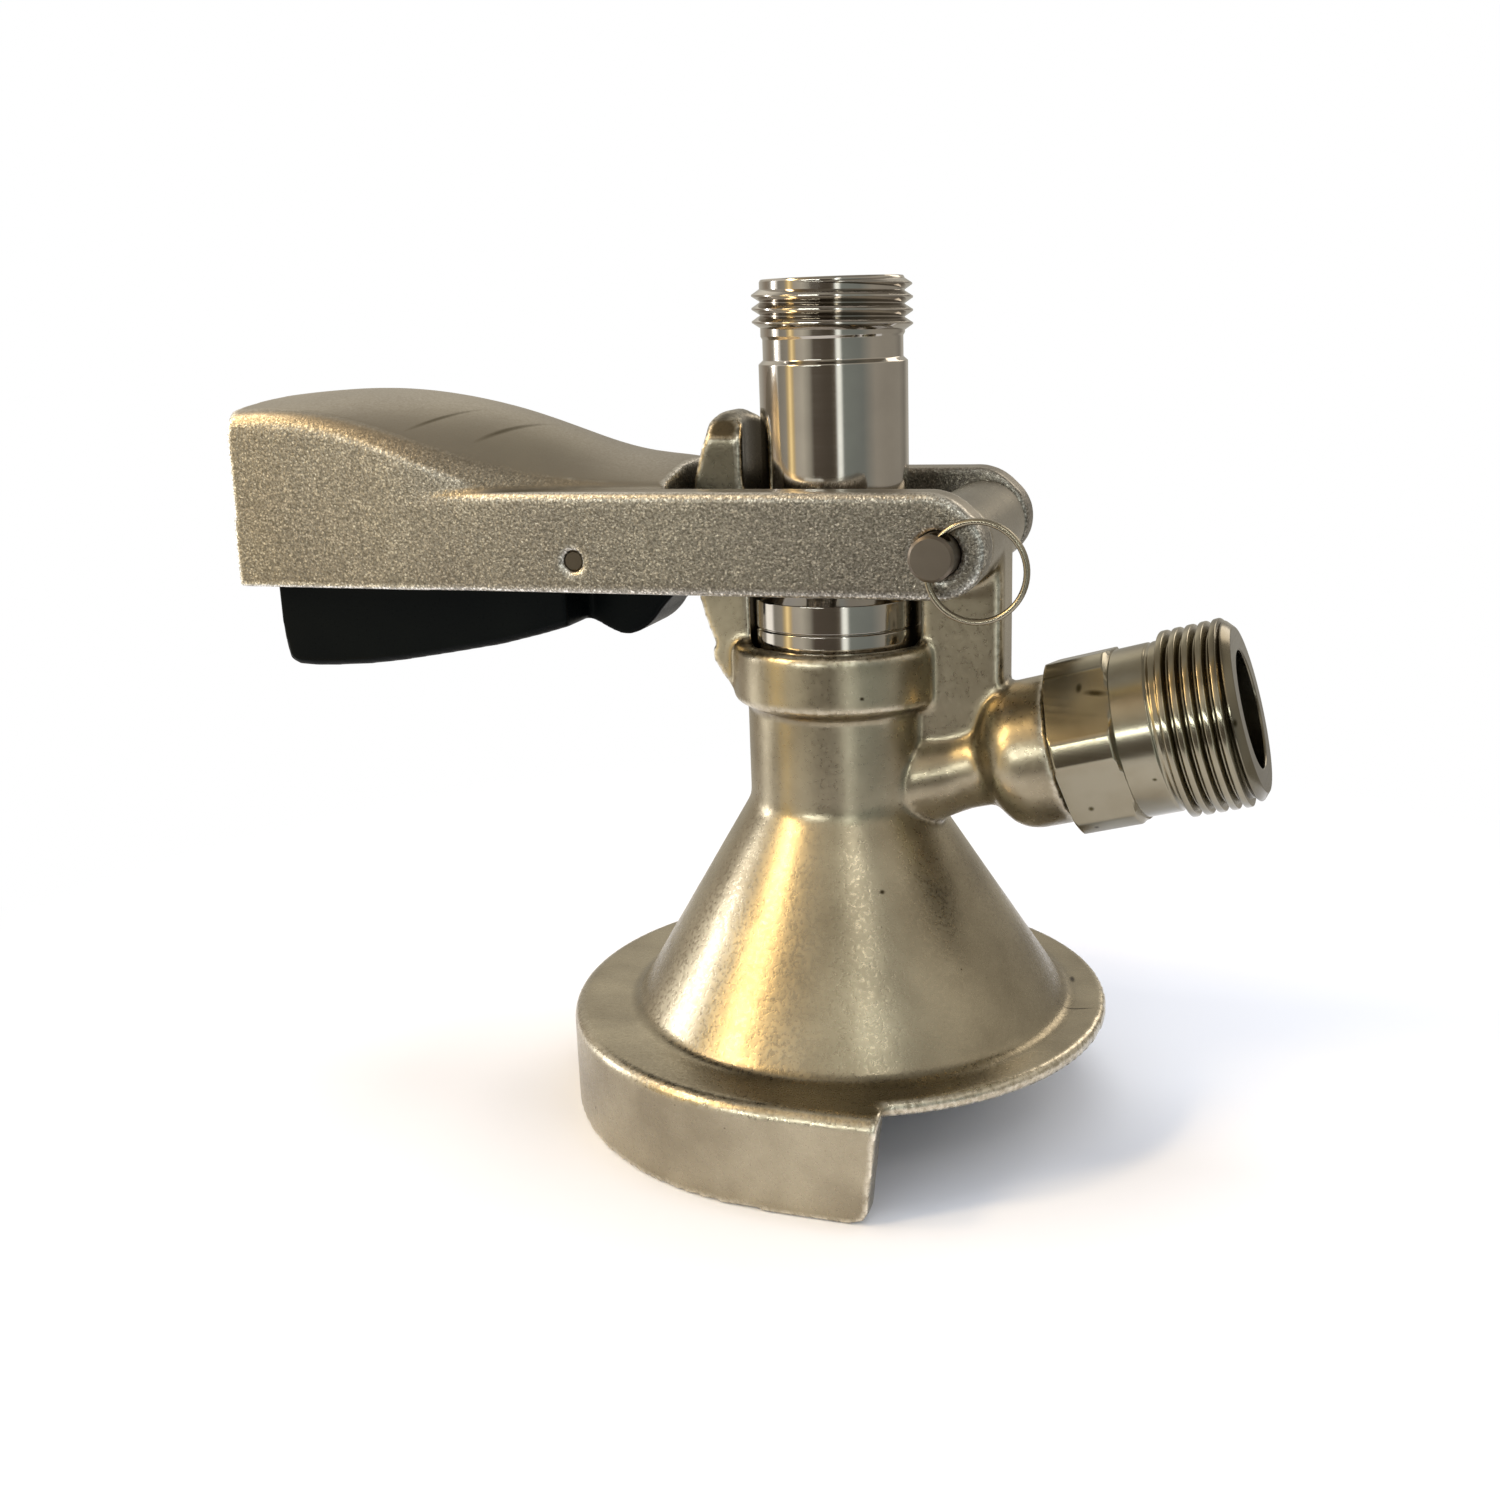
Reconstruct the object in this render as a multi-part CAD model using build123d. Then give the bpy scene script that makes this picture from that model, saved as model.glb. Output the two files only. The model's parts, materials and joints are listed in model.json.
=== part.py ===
from build123d import *
import os
from math import cos, sin, pi, radians, sqrt

os.makedirs("parts", exist_ok=True)

# Keg coupler with a slide-on foot, a forked lever, a finger trigger and a side gas inlet.
# Millimetres. +Z is up along the probe, the handle points along -X, the gas inlet along +X.
# The origin is on the probe's axis in the plane of the foot's lower rim.

# Clearances
running = 0.06
free_gap = 0.30
arm_gap = 0.50

# Foot: thin disc, half-round skirt and the inward lip that hooks under the keg's flange
foot_height = 15.5
disc_radius = 40.4
disc_thickness = 2.3
skirt_radius = 42.8
skirt_wall = 4.2
skirt_reach = 15.8
skirt_end_slant = 1.8
skirt_corner = 2.0
skirt_round = 1.8
lip_inner_radius = 34.5
lip_thickness = 3.4
lip_setback = 3.0

# Cone, neck and collar
cone_radius = 33.6
cone_shift = 1.0
cone_foot_round = 1.8
neck_radius = 13.8
neck_bottom = 47.4
collar_radius = 15.9
collar_round = 1.3
collar_bottom = 63.0
collar_top = 71.9
cup_radius = 13.2
cup_floor = 63.3
wiper_height = 2.0

# Inside of the body
guide_radius = 11.0
guide_bottom = 55.0
chamber_radius = 11.9
chamber_bottom = 46.5
throat_radius = 24.0
gasket_radius = 26.5
gasket_seat = 2.7
gasket_top = foot_height + gasket_seat
throat_step = 2.8
throat_height = gasket_top + throat_step
gasket_hole = 14.5
gasket_proud = 0.6

# Probe
probe_top = 123.3
probe_thread_radius = 11.455
probe_thread_length = 7.6
probe_thread_chamfer = 0.7
relief_radius = 10.05
relief_length = 3.5
probe_radius = 10.69
probe_shoulder = 44.0
probe_stem_radius = 7.8
probe_bore_radius = 5.0
probe_flange_radius = 10.2
probe_flange_bottom = 14.0
probe_flange_top = 18.0
sleeve_radius = 12.7
sleeve_chamfer = 1.3
sleeve_bottom = 69.8
turned_line_height = 74.2
turned_line_depth = 0.15

# Check ball in the probe's lower end
ball_radius = 4.76
ball_chamber_radius = 6.0
ball_chamber_top = 31.0
ball_travel = 3.2
seat_radius = 3.6
seat_height = 16.6
seal_height = 3.2
seal_reach = 1.3
retainer_radius = 8.8
retainer_head = 1.4
retainer_slot = 1.6
stop_pin_radius = 1.0

# Hinge and lever
hinge_x = 19.3
hinge_z = 87.2
pin_radius = 3.1
lug_radius = 6.3
lug_half_width = 14.3
arm_inner = lug_half_width + arm_gap
arm_outer = 20.5
arm_bottom = 80.85
arm_top = 95.3
arm_end_radius = 6.6
arm_round = 0.9
column_left = 13.3
column_right = 25.4
column_half_width = 4.7
stud_radius = 3.0
stud_x = 0.2
stud_z = 83.0
stud_inner = 9.3
stud_play = 0.36
groove_root_radius = 8.8
sleeve_top = stud_z - stud_radius - stud_play
handle_end = -90.1
handle_wall = 1.6
handle_height = 28.6
handle_corner = 1.9
handle_roof = 2.4
handle_end_slant = 1.5
arm_root_x = -78.0

# Trigger
trigger_x = -33.3
trigger_z = 85.6
trigger_pin_radius = 1.5
grip_half_width = 14.4
grip_length = 53.7
grip_drop = 18.3
grip_chamfer = 0.8
nose_half_width = 6.0
nose_reach = 11.0
nose_drop = 13.3
tooth_angles = (-8.6, -5.2)
trigger_boss_radius = 4.0

# Torsion spring on the trigger's pin
spring_wire = 0.45
spring_radius = 2.3
spring_pitch = 1.05
spring_leg = 12.7
spring_slot = 8.4

# Latch post: its outer face is an arc about the hinge
post_inner_x = -12.15
post_depth = 8.25
post_radius = hinge_x - post_inner_x + post_depth
post_half_width = 7.0
post_top = 105.3
ledge_step = 1.1
ledge_radius = post_radius + ledge_step
notch_depth = 1.3
crown_width = 5.0
crown_drop = 3.7

# Handle's web in front of the post
web_gap = 0.7
web_thickness = 6.4
web_end = hinge_x - post_radius - web_gap
slot_end = web_end - web_thickness
slot_height = 10.6

# Gas inlet
gas_height = 47.45
gas_tilt = 15.5
gas_turn = -3.3
gas_tube_radius = 6.2
gas_barrel_radius = 10.9
gas_barrel_start = 29.0
gas_barrel_end = 35.9
gas_washer = 0.45
gas_thread_radius = 13.22
gas_thread_start = 51.0
gas_end = 61.9
gas_hex_flats = 24.6
gas_hex_end = 45.4
gas_hex_stock = 13.3
gas_hex_turn = 23.0
gas_neck_radius = 12.1
gas_mouth_radius = 8.3
gas_mouth_depth = 9.0
valve_seat_radius = 7.6
valve_seat_depth = 3.0
gas_socket_radius = 9.3
gas_passage_radius = 3.5
nipple_bore_radius = 5.6


# Solid of revolution about Z from a list of (radius, height) corners
def turned(corners):
    with BuildPart() as p:
        with BuildSketch(Plane.XZ):
            with BuildLine():
                Polyline(*corners, close=True)
            make_face()
        revolve(axis=Axis.Z)
    return p.part


# Closed outline in the XZ plane made into a plate that spans y0 to y1
def plate(outline, y0, y1):
    face = make_face(outline)
    return extrude(face, amount=y1 - y0, dir=(0, 1, 0)).moved(Location((0, y0, 0)))


def xz(points, close=True):
    return Polyline(*[(x, 0, z) for x, z in points], close=close)


# Disc, bar or tube with its axis along Y
def bar_y(radius, y0, y1, x, z):
    c = Cylinder(radius, y1 - y0, rotation=(-90, 0, 0))
    return c.moved(Location((x, (y0 + y1) / 2, z)))


# Location whose +Z runs outward along the gas inlet
def gas_frame():
    t, w = radians(gas_tilt), radians(gas_turn)
    axis = Vector(cos(t) * cos(w), cos(t) * sin(w), sin(t))
    side = Vector(-sin(w), cos(w), 0)
    return Plane(origin=(0, 0, gas_height), x_dir=side, z_dir=axis).location


def from_hinge(radius, angle):
    a = radians(angle)
    return hinge_x - radius * cos(a), hinge_z + radius * sin(a)


# Half-round plan with straight arms that end at x = reach
def foot_plan(radius, reach):
    with BuildSketch() as s:
        with BuildLine():
            ThreePointArc((0, radius), (-radius, 0), (0, -radius))
            Line((0, -radius), (reach, -radius))
            Line((reach, -radius), (reach, radius))
            Line((reach, radius), (0, radius))
        make_face()
    return s.sketch


def foot():
    disc = extrude(Circle(disc_radius), disc_thickness)
    disc = disc.moved(Location((0, 0, foot_height - disc_thickness)))
    disc = fillet(disc.edges().group_by(Axis.Z)[-1], 0.6)
    outer = extrude(foot_plan(skirt_radius, skirt_reach), foot_height)
    top_edges = [e for e in outer.edges().group_by(Axis.Z)[-1] if e.center().X < skirt_reach - 1]
    outer = fillet(top_edges, skirt_round)
    inner = extrude(foot_plan(skirt_radius - skirt_wall, skirt_reach + 1), foot_height - disc_thickness)
    ring = outer - inner
    trim = Box(60, 200, 60).moved(Location((skirt_reach + 30, 0, 0)))
    middle = Cylinder(disc_radius - 2, 40).moved(Location((0, 0, foot_height)))
    ring = ring - trim - (Box(120, 2 * (skirt_radius - skirt_wall), disc_thickness + 2).moved(
        Location((60, 0, foot_height - disc_thickness / 2 + 0.5))) - middle)
    slant = plate(xz([(skirt_reach - skirt_end_slant, -1), (skirt_reach, foot_height), (80, foot_height), (80, -1)]),
                  -60, 60)
    ring = ring - slant
    tips = [e for e in ring.edges().filter_by(Axis.Y) if e.center().Z < 0.1 and e.center().X > skirt_reach - 3]
    ring = fillet(tips, skirt_corner)
    lip = extrude(foot_plan(skirt_radius - 0.5, skirt_reach - lip_setback), lip_thickness)
    lip = lip - extrude(foot_plan(lip_inner_radius, skirt_reach + 5), lip_thickness)
    return disc + ring + lip


def shell():
    base = Plane.XY.offset(foot_height - disc_thickness)
    low = Pos(cone_shift, 0, foot_height) * Circle(cone_radius)
    high = Pos(0, 0, neck_bottom) * Circle(neck_radius)
    cone = loft([low.face(), high.face()]) + extrude(base * Pos(cone_shift, 0, 0) * Circle(cone_radius), disc_thickness)
    neck = turned([(0, neck_bottom), (neck_radius, neck_bottom), (neck_radius, collar_bottom - 0.6),
                   (collar_radius - 0.5, collar_bottom), (collar_radius, collar_bottom + 0.5),
                   (collar_radius, collar_top), (0, collar_top)])
    rim = neck.edges().filter_by(GeomType.CIRCLE).filter_by(
        lambda e: abs(e.center().Z - collar_top) < 0.01 and e.radius > collar_radius - 0.1)
    body = cone + fillet(rim, collar_round)
    break_edge = body.edges().filter_by(lambda e: abs(e.center().Z - neck_bottom) < 0.01)
    return fillet(break_edge, 4.0)


# Hinge column that rises from the neck and the gas boss and carries the cross barrel
def lug():
    width = column_right - column_left
    column = Box(width, 2 * column_half_width, 32).moved(
        Location(((column_left + column_right) / 2, 0, hinge_z - 1.0 - 16)))
    column = fillet(column.edges().filter_by(Axis.Z), 1.0)
    head = bar_y(lug_radius, -lug_half_width, lug_half_width, hinge_x, hinge_z)
    head = chamfer(head.edges().filter_by(GeomType.CIRCLE), 0.5)
    web = plate(xz([(6.0, 44.0), (17.0, 49.0), (column_right - 1.0, 56.0), (column_left + 1, 62.0), (6.0, 61.0)]),
                -column_half_width, column_half_width)
    return column + head + web


# Latch post with an arc face, a chamfered crown and the ledge that stops the trigger's tooth
def post():
    inner = post_inner_x
    foot_low = from_hinge(ledge_radius, -24.4)
    arc = [from_hinge(post_radius, a) for a in (-23.6, -10, 2.5)]
    arc_up = [from_hinge(post_radius, a) for a in (8.5, 15, 21.0)]
    notch = [from_hinge(post_radius - notch_depth, a) for a in (3.4, 6.6)]
    crown = [(inner - 5.5, post_top - 2.0), (inner - 4.7, post_top - 0.6), (inner - 3.4, post_top),
             (inner - 2.2, post_top), (inner, post_top - 1.9)]
    back = [(inner, arm_top), (inner + 2.0, arm_top - 6.0), (inner + 2.0, collar_top), (-5.0, collar_top - 5.4),
            (-5.0, collar_bottom - 2.0)]
    bracket = [(1.2 - neck_radius, collar_bottom - 0.2), (-neck_radius - 0.5, collar_bottom + 1.4),
               (-collar_radius - 0.2, collar_bottom + 3.6), (-collar_radius - 1.4, collar_bottom + 5.6)]
    with BuildLine() as line:
        ThreePointArc(*[(x, 0, z) for x, z in arc])
        Polyline(*[(x, 0, z) for x, z in (arc[-1], *notch, arc_up[0])])
        ThreePointArc(*[(x, 0, z) for x, z in arc_up])
        Polyline(*[(x, 0, z) for x, z in (arc_up[-1], *crown, *back, *bracket, foot_low, arc[0])])
    solid = plate(line.line, -post_half_width, post_half_width)
    w, edge, mid = post_half_width, post_top - crown_drop, crown_width
    with BuildSketch(Plane.YZ) as front:
        with BuildLine():
            Polyline((-w, neck_bottom), (w, neck_bottom), (w, edge), (mid, post_top - 1.1), (mid / 2, post_top),
                     (-mid / 2, post_top), (-mid, post_top - 1.1), (-w, edge), close=True)
        make_face()
    return solid & extrude(front.sketch, amount=60, both=True)


def gas_boss():
    corners = [(0, 8), (gas_tube_radius + 1.4, 8), (gas_tube_radius + 0.6, 16), (gas_tube_radius, 20),
               (gas_tube_radius + 0.1, 23.6), (gas_tube_radius + 0.9, 24.8), (gas_tube_radius + 2.3, 25.8),
               (gas_barrel_radius - 1.1, 27.0), (gas_barrel_radius - 0.35, 28.4),
               (gas_barrel_radius, gas_barrel_start + 1.0),
               (gas_barrel_radius, gas_barrel_end - 0.4), (gas_barrel_radius - 0.4, gas_barrel_end),
               (0, gas_barrel_end)]
    return turned(corners).moved(gas_frame())


def body_inside():
    bottom = foot_height - disc_thickness - 1
    return turned([(0, collar_top + 40), (cup_radius, collar_top + 40), (cup_radius, cup_floor),
                   (guide_radius, cup_floor), (guide_radius, guide_bottom), (chamber_radius, guide_bottom - 0.9),
                   (chamber_radius, chamber_bottom), (throat_radius, throat_height),
                   (throat_radius, gasket_top), (gasket_radius, gasket_top), (gasket_radius, bottom), (0, bottom)])


ring_section = 0.85
ring_major = probe_radius + running + ring_section
ring_spacing = 3.4
ring_heights = (cup_floor - 2 * ring_spacing + 0.7, cup_floor - ring_spacing + 0.7)


def ring_groove(z):
    r = ring_major + ring_section
    return turned([(guide_radius - 0.5, z - 1.1), (r, z - 1.1), (r, z + 1.1), (guide_radius - 0.5, z + 1.1)])


def coupler_body():
    b = foot() + shell()
    root = b.edges().filter_by(lambda e: abs(e.center().Z - foot_height) < 0.01 and abs(e.length - 2 * pi * cone_radius) < 1)
    b = fillet(root, cone_foot_round) + post() + lug() + gas_boss()
    b = b - Cylinder(cup_radius, 60).moved(Location((0, 0, cup_floor + 30)))
    inside = body_inside() & Cylinder(60, cup_floor * 2 + 2)
    b = b - inside
    for z in ring_heights:
        b = b - ring_groove(z)
    gas = turned([(0, 9.5), (gas_passage_radius, 9.5), (gas_passage_radius, gas_barrel_start - 1.0),
                  (gas_socket_radius, gas_barrel_start - 0.4), (gas_socket_radius, gas_barrel_end + 1),
                  (0, gas_barrel_end + 1)]).moved(gas_frame())
    b = b - gas
    return b - bar_y(pin_radius, -30, 30, hinge_x, hinge_z)


def keg_gasket():
    low = foot_height - disc_thickness - gasket_proud
    g = turned([(gasket_hole, low + 0.8), (gasket_hole + 0.8, low), (gasket_radius - 1.0, low),
                (gasket_radius, low + 1.0), (gasket_radius, gasket_top), (gasket_hole + 2.0, gasket_top),
                (gasket_hole, gasket_top - 2.0)])
    return g


def neck_ring(z):
    return Torus(ring_major, ring_section).moved(Location((0, 0, z)))


def neck_wiper():
    lip, rim = probe_radius + running, cup_radius - free_gap
    top = cup_floor + wiper_height
    return turned([(lip, top - 0.9), (lip, top - 0.4), (lip + 0.64, top), (rim, top - 0.3), (rim, cup_floor),
                   (guide_radius + free_gap, cup_floor)])


def gas_washer_ring():
    rim = gas_barrel_radius - free_gap
    return turned([(gas_socket_radius, gas_barrel_end), (rim, gas_barrel_end), (rim, gas_barrel_end + gas_washer),
                   (gas_socket_radius, gas_barrel_end + gas_washer)]).moved(gas_frame())


def gas_nipple():
    face = gas_barrel_end + gas_washer
    tube = turned([(0, gas_barrel_start), (gas_socket_radius, gas_barrel_start), (gas_socket_radius, face),
                   (gas_neck_radius, face), (gas_neck_radius, gas_thread_start - 0.9),
                   (gas_thread_radius - 1.35, gas_thread_start - 0.6), (gas_thread_radius - 1.35, gas_thread_start),
                   (gas_thread_radius, gas_thread_start + 0.9), (gas_thread_radius, gas_end - 1.7),
                   (gas_thread_radius - 1.2, gas_end - 0.3), (gas_thread_radius - 1.6, gas_end), (0, gas_end)])
    nut = extrude(RegularPolygon(gas_hex_flats / 2, 6, major_radius=False, rotation=gas_hex_turn), gas_hex_end - face)
    nut = nut.moved(Location((0, 0, face)))
    top = gas_hex_stock
    floor = gas_end - gas_mouth_depth
    seat = floor - valve_seat_depth
    ends = turned([(0, face), (top - 0.3, face), (top, face + 0.3), (top, gas_hex_end - 0.5),
                   (top - 1.0, gas_hex_end), (0, gas_hex_end)])
    bore = turned([(0, gas_barrel_start - 1), (gas_passage_radius + 1.5, gas_barrel_start - 1),
                   (gas_passage_radius + 1.5, gas_barrel_start + 5), (nipple_bore_radius, gas_barrel_start + 7),
                   (nipple_bore_radius, seat), (valve_seat_radius, seat), (valve_seat_radius, floor),
                   (gas_mouth_radius, floor), (gas_mouth_radius, gas_end + 1), (0, gas_end + 1)])
    return (tube + (nut & ends) - bore).moved(gas_frame())


# Rubber one-way valve: flange, sleeve and a closed wedge-shaped bill
def duckbill_valve():
    seat = gas_end - gas_mouth_depth - valve_seat_depth
    top = seat + 0.6 * valve_seat_depth
    sleeve = turned([(0, seat - 4.6), (nipple_bore_radius - 0.9, seat - 4.0), (nipple_bore_radius - 0.4, seat),
                     (valve_seat_radius, seat), (valve_seat_radius, top), (0, top)])
    bore = Cylinder(nipple_bore_radius - 2.2, 6).moved(Location((0, 0, seat + 1)))
    bill = Box(7.4, 1.6, 4.4).moved(Location((0, 0, seat - 5.6)))
    return (sleeve - bore + bill).moved(gas_frame())


def valve_retainer():
    floor = gas_end - gas_mouth_depth
    seat = floor - 0.4 * valve_seat_depth
    return turned([(nipple_bore_radius - 2.2, seat), (valve_seat_radius, seat), (valve_seat_radius, floor),
                   (nipple_bore_radius - 1.4, floor)]).moved(gas_frame())


pin_reach = 4.1
pin_hole_inset = 2.1
pin_head_radius = 4.8
pin_head = 2.0
pin_near_end = -(arm_outer + pin_reach)
pin_hole_y = pin_near_end + pin_hole_inset
pin_hole_radius = 1.5
pin_hole_tilt = 20.0


def hinge_pin():
    shaft = bar_y(pin_radius, pin_near_end, arm_outer + free_gap, hinge_x, hinge_z)
    shaft = chamfer([e for e in shaft.edges().filter_by(GeomType.CIRCLE) if e.center().Y < 0], 0.4)
    seat = arm_outer + free_gap
    head = bar_y(pin_head_radius, seat, seat + pin_head, hinge_x, hinge_z)
    head = fillet(head.edges().filter_by(GeomType.CIRCLE).sort_by(Axis.Y)[-1], 0.35 * pin_head)
    hole = Cylinder(pin_hole_radius, 4 * pin_radius).moved(Location((hinge_x, pin_hole_y, hinge_z), (0, pin_hole_tilt, 0)))
    return shaft + head - hole


split_radius = 6.6
split_wire = 0.42
split_offset = 0.75


def split_ring():
    offset = split_radius - split_offset
    turn = Location((hinge_x, pin_hole_y, hinge_z), (0, pin_hole_tilt, 0))
    wires = [Torus(split_radius, split_wire, rotation=(90, 0, 0)).moved(Location((offset, s * 0.9 * split_wire, 0)))
             for s in (-1, 1)]
    return (wires[0] + wires[1]).moved(turn)


def probe():
    t = probe_top
    thread_low = t - probe_thread_length
    relief_low = thread_low - relief_length
    groove_top = stud_z + stud_radius + stud_play
    outline = [(probe_bore_radius, t), (probe_thread_radius - probe_thread_chamfer - 0.5, t),
               (probe_thread_radius, t - probe_thread_chamfer), (probe_thread_radius, thread_low + 0.6),
               (relief_radius + 0.1, thread_low), (relief_radius, thread_low - 0.2), (relief_radius, relief_low),
               (probe_radius, relief_low - 0.55), (probe_radius, groove_top), (groove_root_radius, groove_top),
               (groove_root_radius, sleeve_top), (sleeve_radius - sleeve_chamfer, sleeve_top),
               (sleeve_radius, sleeve_top - sleeve_chamfer), (sleeve_radius, sleeve_bottom + 0.4),
               (sleeve_radius - 0.4, sleeve_bottom), (probe_radius, sleeve_bottom),
               (probe_radius, probe_shoulder), (probe_stem_radius, probe_shoulder - 2.0),
               (probe_stem_radius, probe_flange_top + 1.2), (probe_flange_radius, probe_flange_top),
               (probe_flange_radius, probe_flange_bottom), (ball_chamber_radius, probe_flange_bottom),
               (ball_chamber_radius, ball_chamber_top), (probe_bore_radius, ball_chamber_top + 1.2)]
    tip = sleeve_radius - turned_line_depth
    line = turned([(tip, turned_line_height), (sleeve_radius + 1, turned_line_height + 1 + turned_line_depth),
                   (sleeve_radius + 1, turned_line_height - 1 - turned_line_depth)])
    return turned(outline) - line - stop_pin_bar()


def stop_pin_bar():
    ball_top = ball_height() + ball_radius
    end = probe_stem_radius - free_gap
    return bar_y(stop_pin_radius, -end, end, 0, ball_top + ball_travel + free_gap + stop_pin_radius)


def ball_height():
    return seat_height + sqrt(ball_radius ** 2 - seat_radius ** 2) + 0.2


def check_ball():
    return Sphere(ball_radius).moved(Location((0, 0, ball_height())))


seal_low = probe_flange_bottom - seal_height


def probe_seal():
    r = probe_flange_radius + seal_reach
    return turned([(ball_chamber_radius, seal_low), (r - 0.8, seal_low), (r, seal_low + 0.8),
                   (r, probe_flange_bottom - 0.5), (r - 0.5, probe_flange_bottom),
                   (ball_chamber_radius, probe_flange_bottom)])


def seal_retainer():
    top, low, r = seat_height + 1.5, seal_low - retainer_head, retainer_radius
    lip = seat_radius - 0.6
    nut = turned([(lip, low), (r - 0.6, low), (r, low + 0.6), (r, seal_low), (ball_chamber_radius, seal_low),
                  (ball_chamber_radius, top), (seat_radius + 1.5, top), (seat_radius, seat_height),
                  (seat_radius, seal_low + 1), (lip, seal_low)])
    slots = [Box(2.5 * r, retainer_slot, retainer_head).moved(Location((0, 0, low), (0, 0, a))) for a in (0, 90)]
    return nut - slots[0] - slots[1]


# Handle's form from its end to the web, in shares of its length, width and height:
# station, half width, edge height and ridge height
handle_curve = [(0, 1, 0.914, 0.97), (0.088, 1, 0.921, 0.988), (0.219, 1, 0.893, 0.998),
                (0.349, 1, 0.816, 0.977), (0.48, 0.995, 0.705, 0.925), (0.61, 0.946, 0.596, 0.844),
                (0.741, 0.859, 0.53, 0.736), (0.857, 0.8, 0.509, 0.656), (1, 0.761, 0.505, 0.603)]
stations = [(handle_end + t * (web_end - handle_end), w * arm_outer, arm_bottom + e * handle_height,
             arm_bottom + r * handle_height) for t, w, e, r in handle_curve]


def handle_section(x, half, edge, ridge):
    corner = min(handle_corner, (edge - arm_bottom) / 4)
    slope = 2 * (ridge - edge) / half
    inner = half - corner
    crown_edge = ridge - (ridge - edge) * (inner / half) ** 2
    low, mid = edge - corner, (half - 0.32 * corner, edge - 0.36 * corner + 0.10 * slope)
    with BuildLine() as line:
        Line((x, -half, arm_bottom), (x, half, arm_bottom))
        Line((x, half, arm_bottom), (x, half, low))
        ThreePointArc((x, half, low), (x, mid[0], mid[1]), (x, inner, crown_edge))
        ThreePointArc((x, inner, crown_edge), (x, 0, ridge), (x, -inner, crown_edge))
        ThreePointArc((x, -inner, crown_edge), (x, -mid[0], mid[1]), (x, -half, low))
        Line((x, -half, low), (x, -half, arm_bottom))
    return make_face(line.line)


def handle_block():
    return loft([handle_section(*s) for s in stations])


def handle_cavity():
    roof = [(x, edge + 0.48 * (ridge - edge) - handle_roof) for x, half, edge, ridge in stations]
    roof[0] = (handle_end + handle_wall, roof[0][1])
    with BuildLine() as line:
        Spline(*[(x, 0, z) for x, z in roof[:-1]])
        Polyline((roof[-2][0], 0, roof[-2][1]), (roof[-2][0] + 1.5, 0, roof[-2][1] - 1.2),
                 (slot_end, 0, arm_bottom + slot_height + 1.2), (slot_end, 0, arm_bottom - 1),
                 (roof[0][0], 0, arm_bottom - 1), (roof[0][0], 0, roof[0][1]))
    return plate(line.line, -arm_inner, arm_inner)


def arm_plate():
    cx, cz = hinge_x, arm_bottom + arm_end_radius
    at = [(cx + arm_end_radius * cos(radians(a)), 0, cz + arm_end_radius * sin(radians(a))) for a in (-90, -20, 52)]
    with BuildLine() as line:
        Polyline((arm_root_x, 0, arm_top), (arm_root_x, 0, arm_bottom), at[0])
        ThreePointArc(*at)
        ThreePointArc(at[2], (hinge_x + 1.5, 0, arm_top - 0.7), (hinge_x - 2.4, 0, arm_top))
        Line((hinge_x - 2.4, 0, arm_top), (arm_root_x, 0, arm_top))
    p = plate(line.line, -arm_outer, arm_outer)
    rim = [e for e in p.edges() if abs(abs(e.center().Y) - arm_outer) < 0.01 and e.center().X > arm_root_x + 1]
    return fillet(rim, arm_round)


def lever_handle():
    under = arm_bottom + slot_height
    fork = plate(xz([(slot_end, arm_bottom - 1), (60, arm_bottom - 1), (60, arm_top + 10), (web_end, arm_top + 10),
                     (web_end, under), (slot_end, under)]), -arm_inner, arm_inner)
    slant = plate(xz([(handle_end - 2, arm_bottom - 1), (handle_end + 0.2, arm_bottom - 1),
                      (handle_end + handle_end_slant, 112), (handle_end - 2, 112)]), -40, 40)
    h = handle_block() + arm_plate() - handle_cavity() - fork - slant
    for s in (-1, 1):
        y = sorted((s * stud_inner, s * (arm_inner + 1)))
        stud = bar_y(stud_radius, y[0], y[1], stud_x, stud_z)
        tip = [e for e in stud.edges().filter_by(GeomType.CIRCLE) if abs(abs(e.center().Y) - stud_inner) < 0.1]
        h = h + chamfer(tip, 0.4)
    h = h - bar_y(pin_radius + running + 0.04, -30, 30, hinge_x, hinge_z)
    return h - bar_y(trigger_pin_radius, -30, 30, trigger_x, trigger_z)


def trigger_pin():
    end = arm_outer - 0.35
    p = bar_y(trigger_pin_radius, -end, end, trigger_x, trigger_z)
    return chamfer(p.edges().filter_by(GeomType.CIRCLE), 0.25)


# Trigger's side view from its pivot: shares of the grip's length and drop, then of the nose's reach and drop
grip_curve = [
    (0.993, 0.087), (1, 0.306), (1, 0.836), (0.993, 0.945), (0.966, 0.989), (0.907, 1), (0.823, 0.989),
    (0.721, 0.967), (0.62, 0.929), (0.456, 0.847), (0.294, 0.76), (0.162, 0.661), (0.08, 0.59),
    (0.08, 0.197), (0.099, -0.164), (0.497, -0.077), (0.87, -0.022)]
nose_root = [
    (0.7, 0.692), (0.409, 0.827), (0.282, 0.865)]
nose_belly = [
    (0.282, 0.865), (0.1, 0.947), (-0.155, 1), (-0.391, 0.932), (-0.645, 0.722)]
nose_top = [
    (-0.973, 0.436),
    (-0.9, -0.075), (-0.609, -0.226), (-0.3, -0.353), (0.064, -0.406), (0.427, -0.301), (0.791, -0.15),
    (0.7, 0.692)]


def from_trigger(curve, length, drop):
    return [(trigger_x - a * length, 0, trigger_z - b * drop) for a, b in curve]


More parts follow.
